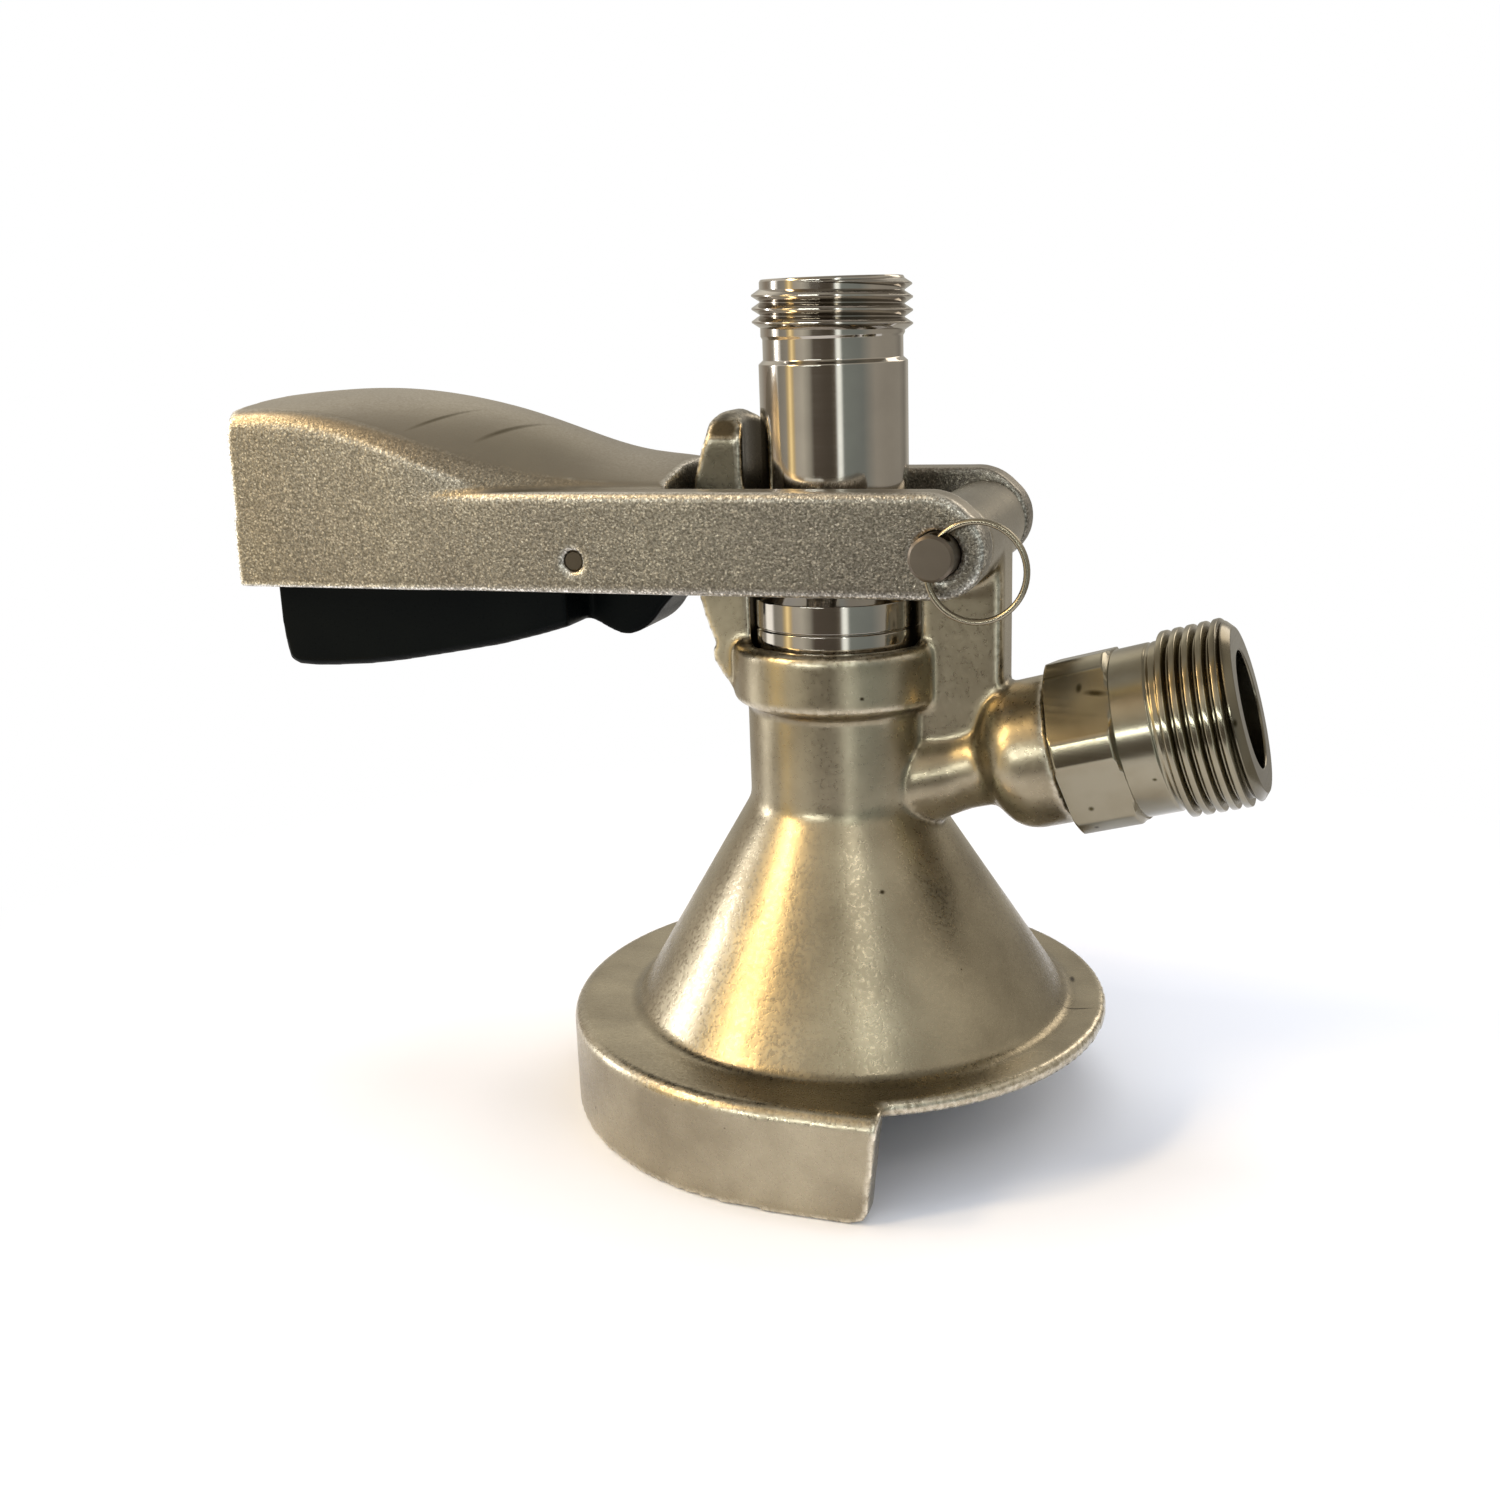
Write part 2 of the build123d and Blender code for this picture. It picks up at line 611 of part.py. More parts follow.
def trigger():
    tooth = [(x, 0, z) for x, z in (from_hinge(post_radius + free_gap, a) for a in tooth_angles)]
    with BuildLine() as line:
        Polyline(*from_trigger(grip_curve, grip_length, grip_drop), close=True)
    grip = plate(line.line, -grip_half_width, grip_half_width)
    root_low = max(z for x, y, z in from_trigger(nose_root[1:2], nose_reach, nose_drop))
    lower = [e for e in grip.edges() if abs(abs(e.center().Y) - grip_half_width) < 0.01 and e.center().Z < root_low]
    grip = chamfer(lower, grip_chamfer)
    root, belly, top = [from_trigger(c, nose_reach, nose_drop) for c in (nose_root, nose_belly, nose_top)]
    with BuildLine() as line:
        Polyline(*root)
        Spline(*belly)
        Polyline(belly[-1], top[0], *tooth, *top[1:])
    nose = plate(line.line, -nose_half_width, nose_half_width)
    boss = bar_y(trigger_boss_radius, -grip_half_width, grip_half_width, trigger_x, trigger_z)
    t = grip + nose + boss
    floor, roof, right = trigger_z - 5.8, trigger_z + 7.4, trigger_x + 4.8
    slot = plate(xz([(trigger_x - spring_leg - 6.0, floor), (trigger_x + 1, floor), (right, trigger_z - 2.6),
                     (right, roof), (trigger_x - spring_leg - 6.0, roof)]), -spring_slot / 2, spring_slot / 2)
    return t - slot - bar_y(trigger_pin_radius + running, -30, 30, trigger_x, trigger_z)


# Torsion spring on the trigger's pin, one leg up to the handle's roof and one along the grip
def trigger_spring():
    top_lean = 50
    turns = 5 + (90 + top_lean) / 360
    rise = spring_pitch * turns
    path = Helix(pitch=spring_pitch, height=rise, radius=spring_radius)
    coil = sweep(path=path, sections=Plane(origin=path @ 0, z_dir=path % 0) * Circle(spring_wire))
    leg = Cylinder(spring_wire, spring_leg, rotation=(90, 0, 0))
    turn = Location((0, 0, rise), (0, 0, 360 * (turns - 5)))
    legs = leg.moved(Location((spring_radius, -spring_leg / 2, 0))), leg.moved(turn * Location(
        (spring_radius, spring_leg / 2, 0)))
    spring = (coil + legs[0] + legs[1]).moved(Location((0, 0, -rise / 2)))
    return spring.moved(Location((trigger_x, 0, trigger_z), (-90, 0, 0)) * Location((0, 0, 0), (0, 0, -top_lean)))


pieces = {
    "coupler_body": coupler_body, "keg_gasket": keg_gasket, "neck_wiper": neck_wiper,
    "neck_o_ring_lower": lambda: neck_ring(ring_heights[0]),
    "neck_o_ring_upper": lambda: neck_ring(ring_heights[1]),
    "gas_washer": gas_washer_ring, "gas_nipple": gas_nipple, "duckbill_valve": duckbill_valve,
    "valve_retainer": valve_retainer, "hinge_pin": hinge_pin, "split_ring": split_ring, "probe": probe,
    "ball_stop_pin": stop_pin_bar, "check_ball": check_ball, "probe_seal": probe_seal,
    "seal_retainer": seal_retainer, "lever_handle": lever_handle, "trigger": trigger,
    "trigger_pin": trigger_pin, "trigger_spring": trigger_spring,
}

for name, make in pieces.items():
    shape = make()
    solids = shape.solids()
    print(name, len(solids), round(sum(s.volume for s in solids), 1))
    export_step(shape if len(solids) > 1 else solids[0], f"parts/{name}.step")
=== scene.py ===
import json
from math import cos, pi, radians, sin, tau

import bmesh
import bpy
from bpy.props import FloatProperty, IntProperty, PointerProperty, StringProperty
from mathutils import Euler, Matrix, Vector


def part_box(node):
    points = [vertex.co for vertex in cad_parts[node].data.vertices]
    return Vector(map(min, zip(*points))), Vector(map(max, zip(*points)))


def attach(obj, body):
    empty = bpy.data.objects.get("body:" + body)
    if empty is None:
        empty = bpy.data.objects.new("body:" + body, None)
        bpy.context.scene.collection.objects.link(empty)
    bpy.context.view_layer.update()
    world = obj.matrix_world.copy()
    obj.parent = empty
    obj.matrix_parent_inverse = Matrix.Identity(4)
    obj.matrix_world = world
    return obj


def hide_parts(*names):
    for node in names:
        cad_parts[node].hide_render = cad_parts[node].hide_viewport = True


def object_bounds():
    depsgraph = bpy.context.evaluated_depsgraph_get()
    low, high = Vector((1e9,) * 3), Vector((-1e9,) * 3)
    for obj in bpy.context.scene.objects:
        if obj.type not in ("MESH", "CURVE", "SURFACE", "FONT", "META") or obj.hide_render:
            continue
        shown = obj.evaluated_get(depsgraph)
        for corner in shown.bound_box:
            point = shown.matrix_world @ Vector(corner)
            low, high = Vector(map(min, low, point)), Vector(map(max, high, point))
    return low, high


bl_info = {
    "name": "Keg Coupler",
    "version": (1, 0, 0),
    "blender": (4, 5, 0),
    "location": "3D View > Sidebar > Keg Coupler",
    "description": "Dresses the slide-on keg coupler's frame with castings, threads, ring and finishes",
    "category": "Object",
}

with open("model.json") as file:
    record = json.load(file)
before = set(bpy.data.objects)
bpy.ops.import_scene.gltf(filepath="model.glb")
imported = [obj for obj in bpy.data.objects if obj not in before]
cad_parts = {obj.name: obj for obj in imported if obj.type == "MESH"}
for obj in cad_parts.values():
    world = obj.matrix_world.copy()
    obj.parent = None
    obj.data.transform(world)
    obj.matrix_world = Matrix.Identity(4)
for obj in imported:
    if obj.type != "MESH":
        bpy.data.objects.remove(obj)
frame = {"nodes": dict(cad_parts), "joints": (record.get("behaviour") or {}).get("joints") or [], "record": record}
CAD_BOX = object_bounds()
MM = 0.001


def mount(name):
    """Position and axis of one of the record's mounts, in metres, and its sizes in millimetres."""
    for m in frame["record"]["mounts"]:
        if m["name"] == name:
            return Vector(m["pos_m"]), Vector(m["axis"]).normalized(), m["dims"]
    raise RuntimeError(f"the record has no mount named {name}")


def joint_at(name):
    for j in frame["joints"]:
        if j["name"] == name:
            return Vector(j["pos_m"]), Vector(j["axis"]).normalized()
    raise RuntimeError(f"the record has no joint named {name}")


def length(description, default, least=0.0, most=1.0):
    return FloatProperty(name=description.split(",")[0], description=description, default=default, min=least,
                         max=most, unit="LENGTH", precision=5)


def paint(description, default):
    return StringProperty(name=description.split(",")[0], description=description + ", as sRGB hex", default=default)


# Sizes and colours that a user would change

class CameraSettings(bpy.types.PropertyGroup):
    distance: length("Distance, from the probe's axis", 0.23718, 0.05, 5.0)
    height: length("Height, above the foot's lower rim", 0.11841)
    azimuth: FloatProperty(name="Azimuth", description="Place round the coupler, in degrees", default=15.549)
    yaw: FloatProperty(name="Yaw", description="Turn away from the probe's axis, in degrees", default=3.345)
    pitch: FloatProperty(name="Pitch", description="Look down, in degrees", default=15.083)
    roll: FloatProperty(name="Roll", description="Turn about the view, in degrees", default=-2.012)
    lens: FloatProperty(name="Lens", description="Focal length on a 36 mm sensor", default=38.619, unit="CAMERA")


class CastingSettings(bpy.types.PropertyGroup):
    body_voxel: length("Body voxel, finest detail of the cast body", 0.00062, 0.0003, 0.004)
    lever_voxel: length("Lever voxel, finest detail of the cast lever", 0.00052, 0.0003, 0.004)
    trigger_voxel: length("Trigger voxel, finest detail of the moulded trigger", 0.00045, 0.0003, 0.004)
    soften: IntProperty(name="Soften", description="Smoothing steps that round the cast edges", default=4, min=0)
    body_colour: paint("Body, satin investment-cast stainless steel", "#918773")
    body_warm: paint("Body tint, warm patches in the cast skin", "#ADA38D")
    lever_colour: paint("Lever, blasted cast stainless steel", "#857E73")
    trigger_colour: paint("Trigger, black moulded nylon", "#06090A")


class ThreadSettings(bpy.types.PropertyGroup):
    pitch: length("Pitch, distance from crest to crest, 14 threads to the inch", 0.001814, 0.0005, 0.01)
    depth: length("Depth, from crest to root", 0.00116, 0.0002, 0.01)
    steps: IntProperty(name="Steps", description="Straight runs in one turn of thread", default=96, min=12)
    probe_colour: paint("Probe, polished stainless tube", "#A8A29A")
    nipple_colour: paint("Nipple, nickel-plated brass", "#96907F")


class RingSettings(bpy.types.PropertyGroup):
    radius: length("Radius, of the ring's wire line", 0.0066, 0.002, 0.02)
    wire: length("Wire, radius of the ring's wire", 0.00042, 0.0001, 0.002)
    turns: FloatProperty(name="Turns", description="Turns of wire in the ring", default=1.9, min=1.0, max=4.0)


# Helpers

def linear(code):
    """An sRGB hex colour as the linear colour that Blender's sockets take."""
    parts = [int(code.lstrip("#")[i:i + 2], 16) / 255 for i in (0, 2, 4)]
    return tuple(c / 12.92 if c <= 0.04045 else ((c + 0.055) / 1.055) ** 2.4 for c in parts) + (1.0,)


def add(tree, kind, sockets=None, **settings):
    """One node with its settings; a socket's value is a plain value or another node's output."""
    node = tree.nodes.new(kind)
    for key, value in settings.items():
        setattr(node, key, value)
    for key, value in (sockets or {}).items():
        if isinstance(value, bpy.types.NodeSocket):
            tree.links.new(value, node.inputs[key])
        else:
            node.inputs[key].default_value = value
    return node


def finish_mesh(name, mesh, body, material, node=None, angle=None):
    """A new object at the origin that rides on a body and stands for a node."""
    mesh.name = name
    piece = bpy.data.objects.new(name, mesh)
    bpy.context.scene.collection.objects.link(piece)
    mesh.materials.clear()
    mesh.materials.append(material)
    if angle is not None:
        mesh.shade_smooth()
        mesh.set_sharp_from_angle(angle=radians(angle))
    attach(piece, body)
    if node:
        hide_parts(node)
    return piece


def rounded(corners, radius, steps=4):
    """A closed (radius, height) outline with each corner rounded, so that edges catch the light."""
    out = []
    count = len(corners)
    for i, corner in enumerate(corners):
        p, q, r = (Vector(corners[(i + k) % count]) for k in (-1, 0, 1))
        a, b = (p - q), (r - q)
        on_axis = q.x < 1e-9
        if on_axis or a.length < 1e-9 or b.length < 1e-9:
            out.append(tuple(q))
            continue
        turn = pi - a.angle(b)
        reach = radius * abs(sin(turn / 2) / max(cos(turn / 2), 1e-6))
        reach = min(reach, 0.45 * a.length, 0.45 * b.length)
        if reach < 1e-7:
            out.append(tuple(q))
            continue
        start, end = q + a.normalized() * reach, q + b.normalized() * reach
        for k in range(steps + 1):
            t = k / steps
            out.append(tuple((1 - t) ** 2 * start + 2 * t * (1 - t) * q + t ** 2 * end))
    return out


def turned(corners, segments=128, shape=None):
    """A closed lathe mesh from (radius, height) points in metres; shape may change a radius by angle and height."""
    # Two extra rings on each long run keep its shading straight right up to the rounded corners
    held = []
    for a, b in zip(corners, corners[1:] + corners[:1]):
        run = Vector(b) - Vector(a)
        held.append(a)
        if run.length > 0.0008:
            held += [tuple(Vector(a) + run.normalized() * 0.00006), tuple(Vector(b) - run.normalized() * 0.00006)]
    mesh = bpy.data.meshes.new("turned")
    form = bmesh.new()
    rings = []
    for radius, height in held:
        if radius < 1e-9:
            rings.append([form.verts.new((0, 0, height))])
            continue
        ring = []
        for k in range(segments):
            a = tau * k / segments
            r = shape(radius, height, a) if shape else radius
            ring.append(form.verts.new((r * cos(a), r * sin(a), height)))
        rings.append(ring)
    for one, two in zip(rings, rings[1:] + rings[:1]):
        if len(one) == 1 and len(two) == 1:
            continue
        for k in range(segments):
            n = (k + 1) % segments
            loop = [one[k % len(one)], one[n % len(one)], two[n % len(two)], two[k % len(two)]]
            form.faces.new(list(dict.fromkeys(loop)))
    bmesh.ops.recalc_face_normals(form, faces=form.faces)
    form.to_mesh(mesh)
    form.free()
    return mesh


def sheet(name, corners, material):
    """A stage sheet: a line of (radius, height) points swept once round the Z axis."""
    form = bmesh.new()
    rings = [[form.verts.new((r * cos(tau * k / 96), r * sin(tau * k / 96), z)) for k in range(96)]
             for r, z in corners]
    for one, two in zip(rings, rings[1:]):
        for k in range(96):
            form.faces.new([one[k], one[(k + 1) % 96], two[(k + 1) % 96], two[k]])
    mesh = bpy.data.meshes.new(name)
    form.to_mesh(mesh)
    form.free()
    mesh.shade_smooth()
    mesh.materials.append(material)
    obj = bpy.data.objects.new(name, mesh)
    bpy.context.scene.collection.objects.link(obj)
    return obj


def plain(obj):
    """The object's evaluated mesh as a plain mesh; the object itself goes."""
    bpy.context.view_layer.update()
    ready = obj.evaluated_get(bpy.context.evaluated_depsgraph_get())
    mesh = bpy.data.meshes.new_from_object(ready)
    bpy.data.objects.remove(obj)
    return mesh


def joined(*meshes):
    """Several closed meshes in one."""
    form = bmesh.new()
    for mesh in meshes:
        form.from_mesh(mesh)
    mesh = bpy.data.meshes.new("joined")
    form.to_mesh(mesh)
    form.free()
    return mesh


def casting(node, voxel, soften):
    """A copy of a CAD node's skin with the softly rounded edges of a casting."""
    form = bmesh.new()
    form.from_mesh(frame["nodes"][node].data)
    bmesh.ops.remove_doubles(form, verts=form.verts, dist=2e-6)
    mesh = bpy.data.meshes.new(node)
    form.to_mesh(mesh)
    form.free()
    work = bpy.data.objects.new(node + "_work", mesh)
    bpy.context.scene.collection.objects.link(work)
    skin = work.modifiers.new("Skin", "REMESH")
    skin.mode = "VOXEL"
    skin.voxel_size = voxel
    skin.use_smooth_shade = True
    soft = work.modifiers.new("Soft", "SMOOTH")
    soft.factor = 0.5
    soft.iterations = soften
    return plain(work)


# Geometry Nodes: a rounded V of thread, and a coil of wire

def group_inputs(tree, wanted):
    tree.interface.new_socket(name="Geometry", in_out="OUTPUT", socket_type="NodeSocketGeometry")
    for name, kind in wanted:
        tree.interface.new_socket(name=name, in_out="INPUT", socket_type=kind)
    return add(tree, "NodeGroupInput").outputs


def coil_end(tree, geometry, inputs):
    """Turns and moves the coil to its place, and gives it one material."""
    put = add(tree, "GeometryNodeTransform", {"Geometry": geometry, "Translation": inputs["Place"],
                                              "Rotation": inputs["Turn"]})
    real = add(tree, "GeometryNodeRealizeInstances", {"Geometry": put.outputs[0]})
    skin = add(tree, "GeometryNodeSetMaterial", {"Geometry": real.outputs[0], "Material": inputs["Material"]})
    add(tree, "NodeGroupOutput", {"Geometry": skin.outputs[0]})


def thread_tree():
    """A ridge of thread that fades in and out over its first and last part of a turn."""
    tree = bpy.data.node_groups.new("Pipe thread", "GeometryNodeTree")
    got = group_inputs(tree, (("Root radius", "NodeSocketFloat"), ("Pitch", "NodeSocketFloat"),
                              ("Depth", "NodeSocketFloat"), ("Crest", "NodeSocketFloat"),
                              ("Turns", "NodeSocketFloat"), ("Steps", "NodeSocketInt"), ("Fade", "NodeSocketFloat"),
                              ("Place", "NodeSocketVector"), ("Turn", "NodeSocketRotation"),
                              ("Material", "NodeSocketMaterial")))
    rise = add(tree, "ShaderNodeMath", {0: got["Pitch"], 1: got["Turns"]}, operation="MULTIPLY")
    line = add(tree, "GeometryNodeCurveSpiral", {"Resolution": got["Steps"], "Rotations": got["Turns"],
                                                 "Start Radius": got["Root radius"],
                                                 "End Radius": got["Root radius"], "Height": rise.outputs[0]})
    upright = add(tree, "GeometryNodeSetCurveNormal", {"Curve": line.outputs[0]}, mode="Z_UP")
    along = add(tree, "GeometryNodeSplineParameter")
    left = add(tree, "ShaderNodeMath", {0: 1.0, 1: along.outputs["Factor"]}, operation="SUBTRACT")
    near = add(tree, "ShaderNodeMath", {0: along.outputs["Factor"], 1: left.outputs[0]}, operation="MINIMUM")
    turns = add(tree, "ShaderNodeMath", {0: near.outputs[0], 1: got["Turns"]}, operation="MULTIPLY")
    share = add(tree, "ShaderNodeMath", {0: turns.outputs[0], 1: got["Fade"]}, operation="DIVIDE")
    grown = add(tree, "ShaderNodeMath", {0: share.outputs[0], 1: 0.02}, operation="MAXIMUM")
    capped = add(tree, "ShaderNodeMath", {0: grown.outputs[0], 1: 1.0}, operation="MINIMUM")
    crest = add(tree, "ShaderNodeMath", {0: got["Pitch"], 1: got["Crest"]}, operation="MULTIPLY")
    nose = add(tree, "ShaderNodeMath", {0: crest.outputs[0], 1: 0.25}, operation="MULTIPLY")
    # The flanks meet at the root, and the profile goes on 0.3 of the depth into the core
    wide = add(tree, "ShaderNodeMath", {0: got["Pitch"], 1: 1.235}, operation="MULTIPLY")
    less = add(tree, "ShaderNodeMath", {0: crest.outputs[0], 1: 0.3}, operation="MULTIPLY")
    foot = add(tree, "ShaderNodeMath", {0: wide.outputs[0], 1: less.outputs[0]}, operation="SUBTRACT")
    tall = add(tree, "ShaderNodeMath", {0: got["Depth"], 1: 1.3}, operation="MULTIPLY")
    vee = add(tree, "GeometryNodeCurvePrimitiveQuadrilateral",
              {"Height": tall.outputs[0], "Bottom Width": foot.outputs[0], "Top Width": crest.outputs[0],
               "Offset": 0.0}, mode="TRAPEZOID")
    soft = add(tree, "GeometryNodeFilletCurve", {"Curve": vee.outputs[0], "Radius": nose.outputs[0], "Count": 3,
                                                 "Limit Radius": True}, mode="POLY")
    out = add(tree, "ShaderNodeMath", {0: got["Depth"], 1: -0.35}, operation="MULTIPLY")
    shift = add(tree, "ShaderNodeCombineXYZ", {"X": out.outputs[0]})
    across = add(tree, "GeometryNodeTransform", {"Geometry": soft.outputs[0], "Translation": shift.outputs[0],
                                                 "Rotation": Euler((0, 0, radians(90)))})
    ridge = add(tree, "GeometryNodeCurveToMesh", {"Curve": upright.outputs[0], "Profile Curve": across.outputs[0],
                                                  "Scale": capped.outputs[0], "Fill Caps": True})
    coil_end(tree, ridge.outputs[0], got)
    return tree


def wire_tree():
    """Round wire wound in a coil, turn against turn."""
    tree = bpy.data.node_groups.new("Wound wire", "GeometryNodeTree")
    got = group_inputs(tree, (("Radius", "NodeSocketFloat"), ("Wire", "NodeSocketFloat"),
                              ("Turns", "NodeSocketFloat"), ("Rise", "NodeSocketFloat"),
                              ("Place", "NodeSocketVector"), ("Turn", "NodeSocketRotation"),
                              ("Material", "NodeSocketMaterial")))
    line = add(tree, "GeometryNodeCurveSpiral", {"Resolution": 72, "Rotations": got["Turns"],
                                                 "Start Radius": got["Radius"], "End Radius": got["Radius"],
                                                 "Height": got["Rise"]})
    round_wire = add(tree, "GeometryNodeCurvePrimitiveCircle", {"Resolution": 14, "Radius": got["Wire"]})
    tube = add(tree, "GeometryNodeCurveToMesh", {"Curve": line.outputs[0], "Profile Curve": round_wire.outputs[0],
                                                 "Fill Caps": True})
    coil_end(tree, tube.outputs[0], got)
    return tree


def grown(tree, values):
    """The plain mesh that a tree makes with these inputs."""
    holder = bpy.data.objects.new("grown", bpy.data.meshes.new("grown"))
    bpy.context.scene.collection.objects.link(holder)
    growth = holder.modifiers.new("Growth", "NODES")
    growth.node_group = tree
    sockets = {s.name: s.identifier for s in tree.interface.items_tree if s.in_out == "INPUT"}
    for key, value in values.items():
        growth[sockets[key]] = value
    return plain(holder)


# Materials

def new_material(name):
    material = bpy.data.materials.new(name)
    material.use_nodes = True
    tree = material.node_tree
    tree.nodes.clear()
    shader = add(tree, "ShaderNodeBsdfPrincipled")
    add(tree, "ShaderNodeOutputMaterial", {"Surface": shader.outputs[0]})
    place = add(tree, "ShaderNodeTexCoord").outputs["Object"]
    return material, tree, shader, place


def blotches(tree, place, size, low, high, dark, light, detail=3.0, seed=0.0):
    """A colour that wanders between two colours in patches of about that size in metres."""
    at = add(tree, "ShaderNodeMapping", {"Vector": place, "Location": (seed, seed, seed)})
    noise = add(tree, "ShaderNodeTexNoise", {"Vector": at.outputs[0], "Scale": 1 / size, "Detail": detail})
    share = add(tree, "ShaderNodeMapRange", {"Value": noise.outputs["Fac"], "From Min": low, "From Max": high})
    mix = add(tree, "ShaderNodeMix", {"Factor": share.outputs[0], 6: dark, 7: light}, data_type="RGBA")
    return mix.outputs[2]


def flecks(tree, place, base, colour, marks):
    """Single stains and scratches: each is a centre and half sizes in millimetres, turned about Z in degrees."""
    near = 9.0
    for centre, size, turn in marks:
        local = add(tree, "ShaderNodeMapping", {"Vector": place, "Location": [v * MM for v in centre],
                                                "Rotation": (0.0, 0.0, radians(turn)),
                                                "Scale": [v * MM for v in size]}, vector_type="TEXTURE")
        away = add(tree, "ShaderNodeVectorMath", {0: local.outputs[0]}, operation="LENGTH").outputs["Value"]
        near = add(tree, "ShaderNodeMath", {0: away, 1: near}, operation="MINIMUM").outputs[0]
    soft = add(tree, "ShaderNodeMapRange", {"Value": near, "From Min": 0.35, "From Max": 1.05})
    return add(tree, "ShaderNodeMix", {"Factor": soft.outputs[0], 6: linear(colour), 7: base},
               data_type="RGBA").outputs[2]


def cast_steel(name, colour, tint, grain, depth, roughness):
    """Cast stainless steel, bead-blasted and tumbled: a grey-gold satin skin with fine grain, soft patches and
    smoother edges with a painted highlight; the inner corners and the heads under the lever carry painted shade."""
    material, tree, shader, place = new_material(name)
    shader.inputs["Metallic"].default_value = 1.0
    base = blotches(tree, place, 0.012, 0.35, 0.68, linear(colour), linear(tint), 4.0)
    # Painted shade: the post's and the column's heads, under the lever, are painted darker
    high = add(tree, "ShaderNodeSeparateXYZ", {0: place})
    painted_shade = add(tree, "ShaderNodeMapRange", {"Value": high.outputs["Z"], "From Min": 0.078, "From Max": 0.092,
                                            "To Min": 1.0, "To Max": 0.60})
    base = add(tree, "ShaderNodeVectorMath", {0: base, "Scale": painted_shade.outputs[0]}, operation="SCALE").outputs[0]
    lean = add(tree, "ShaderNodeMath", {0: high.outputs["X"], 1: -0.8, 2: high.outputs["Z"]}, operation="MULTIPLY_ADD")
    post = add(tree, "ShaderNodeMapRange", {"Value": lean.outputs[0], "From Min": 0.090, "From Max": 0.102,
                                            "To Min": 1.0, "To Max": 0.50})
    base = add(tree, "ShaderNodeVectorMath", {0: base, "Scale": post.outputs[0]}, operation="SCALE").outputs[0]
    # Small casting pits and stains, 0.5 to 1 mm wide and rare
    spots = add(tree, "ShaderNodeTexNoise", {"Vector": place, "Scale": 900.0, "Detail": 2.0})
    pit = add(tree, "ShaderNodeMapRange", {"Value": spots.outputs["Fac"], "From Min": 0.20, "From Max": 0.25})
    stained = add(tree, "ShaderNodeMix", {"Factor": pit.outputs[0], 6: linear("#4A3D2C"), 7: base},
                  data_type="RGBA")
    # Painted highlight: edges are painted brighter than the flat skin, in a broken line
    edge = add(tree, "ShaderNodeNewGeometry")
    edge_highlight = add(tree, "ShaderNodeMapRange", {"Value": edge.outputs["Pointiness"], "From Min": 0.51,
                                           "From Max": 0.56})
    patchy = add(tree, "ShaderNodeTexNoise", {"Vector": place, "Scale": 1300.0, "Detail": 2.0})
    broken = add(tree, "ShaderNodeMapRange", {"Value": patchy.outputs["Fac"], "From Min": 0.38, "From Max": 0.56,
                                              "To Min": 0.30, "To Max": 1.0})
    share = add(tree, "ShaderNodeMath", {0: edge_highlight.outputs[0], 1: broken.outputs[0]}, operation="MULTIPLY")
    highlighted = add(tree, "ShaderNodeMix", {"Factor": share.outputs[0], 6: stained.outputs[2], 7: linear("#F0E8D6")},
               data_type="RGBA")
    # Painted shade: the inner corners are painted darker
    corner_shade = add(tree, "ShaderNodeMapRange", {"Value": edge.outputs["Pointiness"], "From Min": 0.455,
                                             "From Max": 0.492})
    shaded = add(tree, "ShaderNodeMix", {"Factor": corner_shade.outputs[0], 6: linear("#4E432F"), 7: highlighted.outputs[2]},
                 data_type="RGBA")
    marked = flecks(tree, place, shaded.outputs[2], "#3A3020", (
        ((7.2, -14.2, 65.7), (0.42, 0.42, 0.34), 0), ((36.3, -0.4, 15.6), (3.2, 0.24, 1.6), 20.6),
        ((34.2, 10.6, 15.5), (1.5, 0.5, 0.6), 100), ((10.4, -16.8, 38.0), (0.5, 0.5, 0.4), 0)))
    tree.links.new(marked, shader.inputs["Base Color"])
    fine = add(tree, "ShaderNodeTexNoise", {"Vector": place, "Scale": 1 / grain, "Detail": 3.0,
                                            "Roughness": 0.65})
    sway = add(tree, "ShaderNodeMapRange", {"Value": fine.outputs["Fac"], "From Min": 0.3, "From Max": 0.7,
                                            "To Min": -1.0, "To Max": 1.0})
    spread = add(tree, "ShaderNodeMapRange", {"Value": high.outputs["Z"], "From Min": 0.034, "From Max": 0.050,
                                              "To Min": 0.095, "To Max": 0.042})
    gloss = add(tree, "ShaderNodeMath", {0: sway.outputs[0], 1: spread.outputs[0], 2: roughness},
                operation="MULTIPLY_ADD")
    tree.links.new(gloss.outputs[0], shader.inputs["Roughness"])
    swell = add(tree, "ShaderNodeTexNoise", {"Vector": place, "Scale": 180.0, "Detail": 2.0})
    both = add(tree, "ShaderNodeMath", {0: swell.outputs["Fac"], 1: 2.5, 2: fine.outputs["Fac"]},
               operation="MULTIPLY_ADD")
    # The foot and the cone are coarser than the neck, the column and the post
    coarse = add(tree, "ShaderNodeMapRange", {"Value": high.outputs["Z"], "From Min": 0.034, "From Max": 0.050,
                                              "To Min": depth, "To Max": depth * 0.45})
    bump = add(tree, "ShaderNodeBump", {"Strength": 0.6, "Distance": coarse.outputs[0], "Height": both.outputs[0]})
    tree.links.new(bump.outputs[0], shader.inputs["Normal"])
    return material


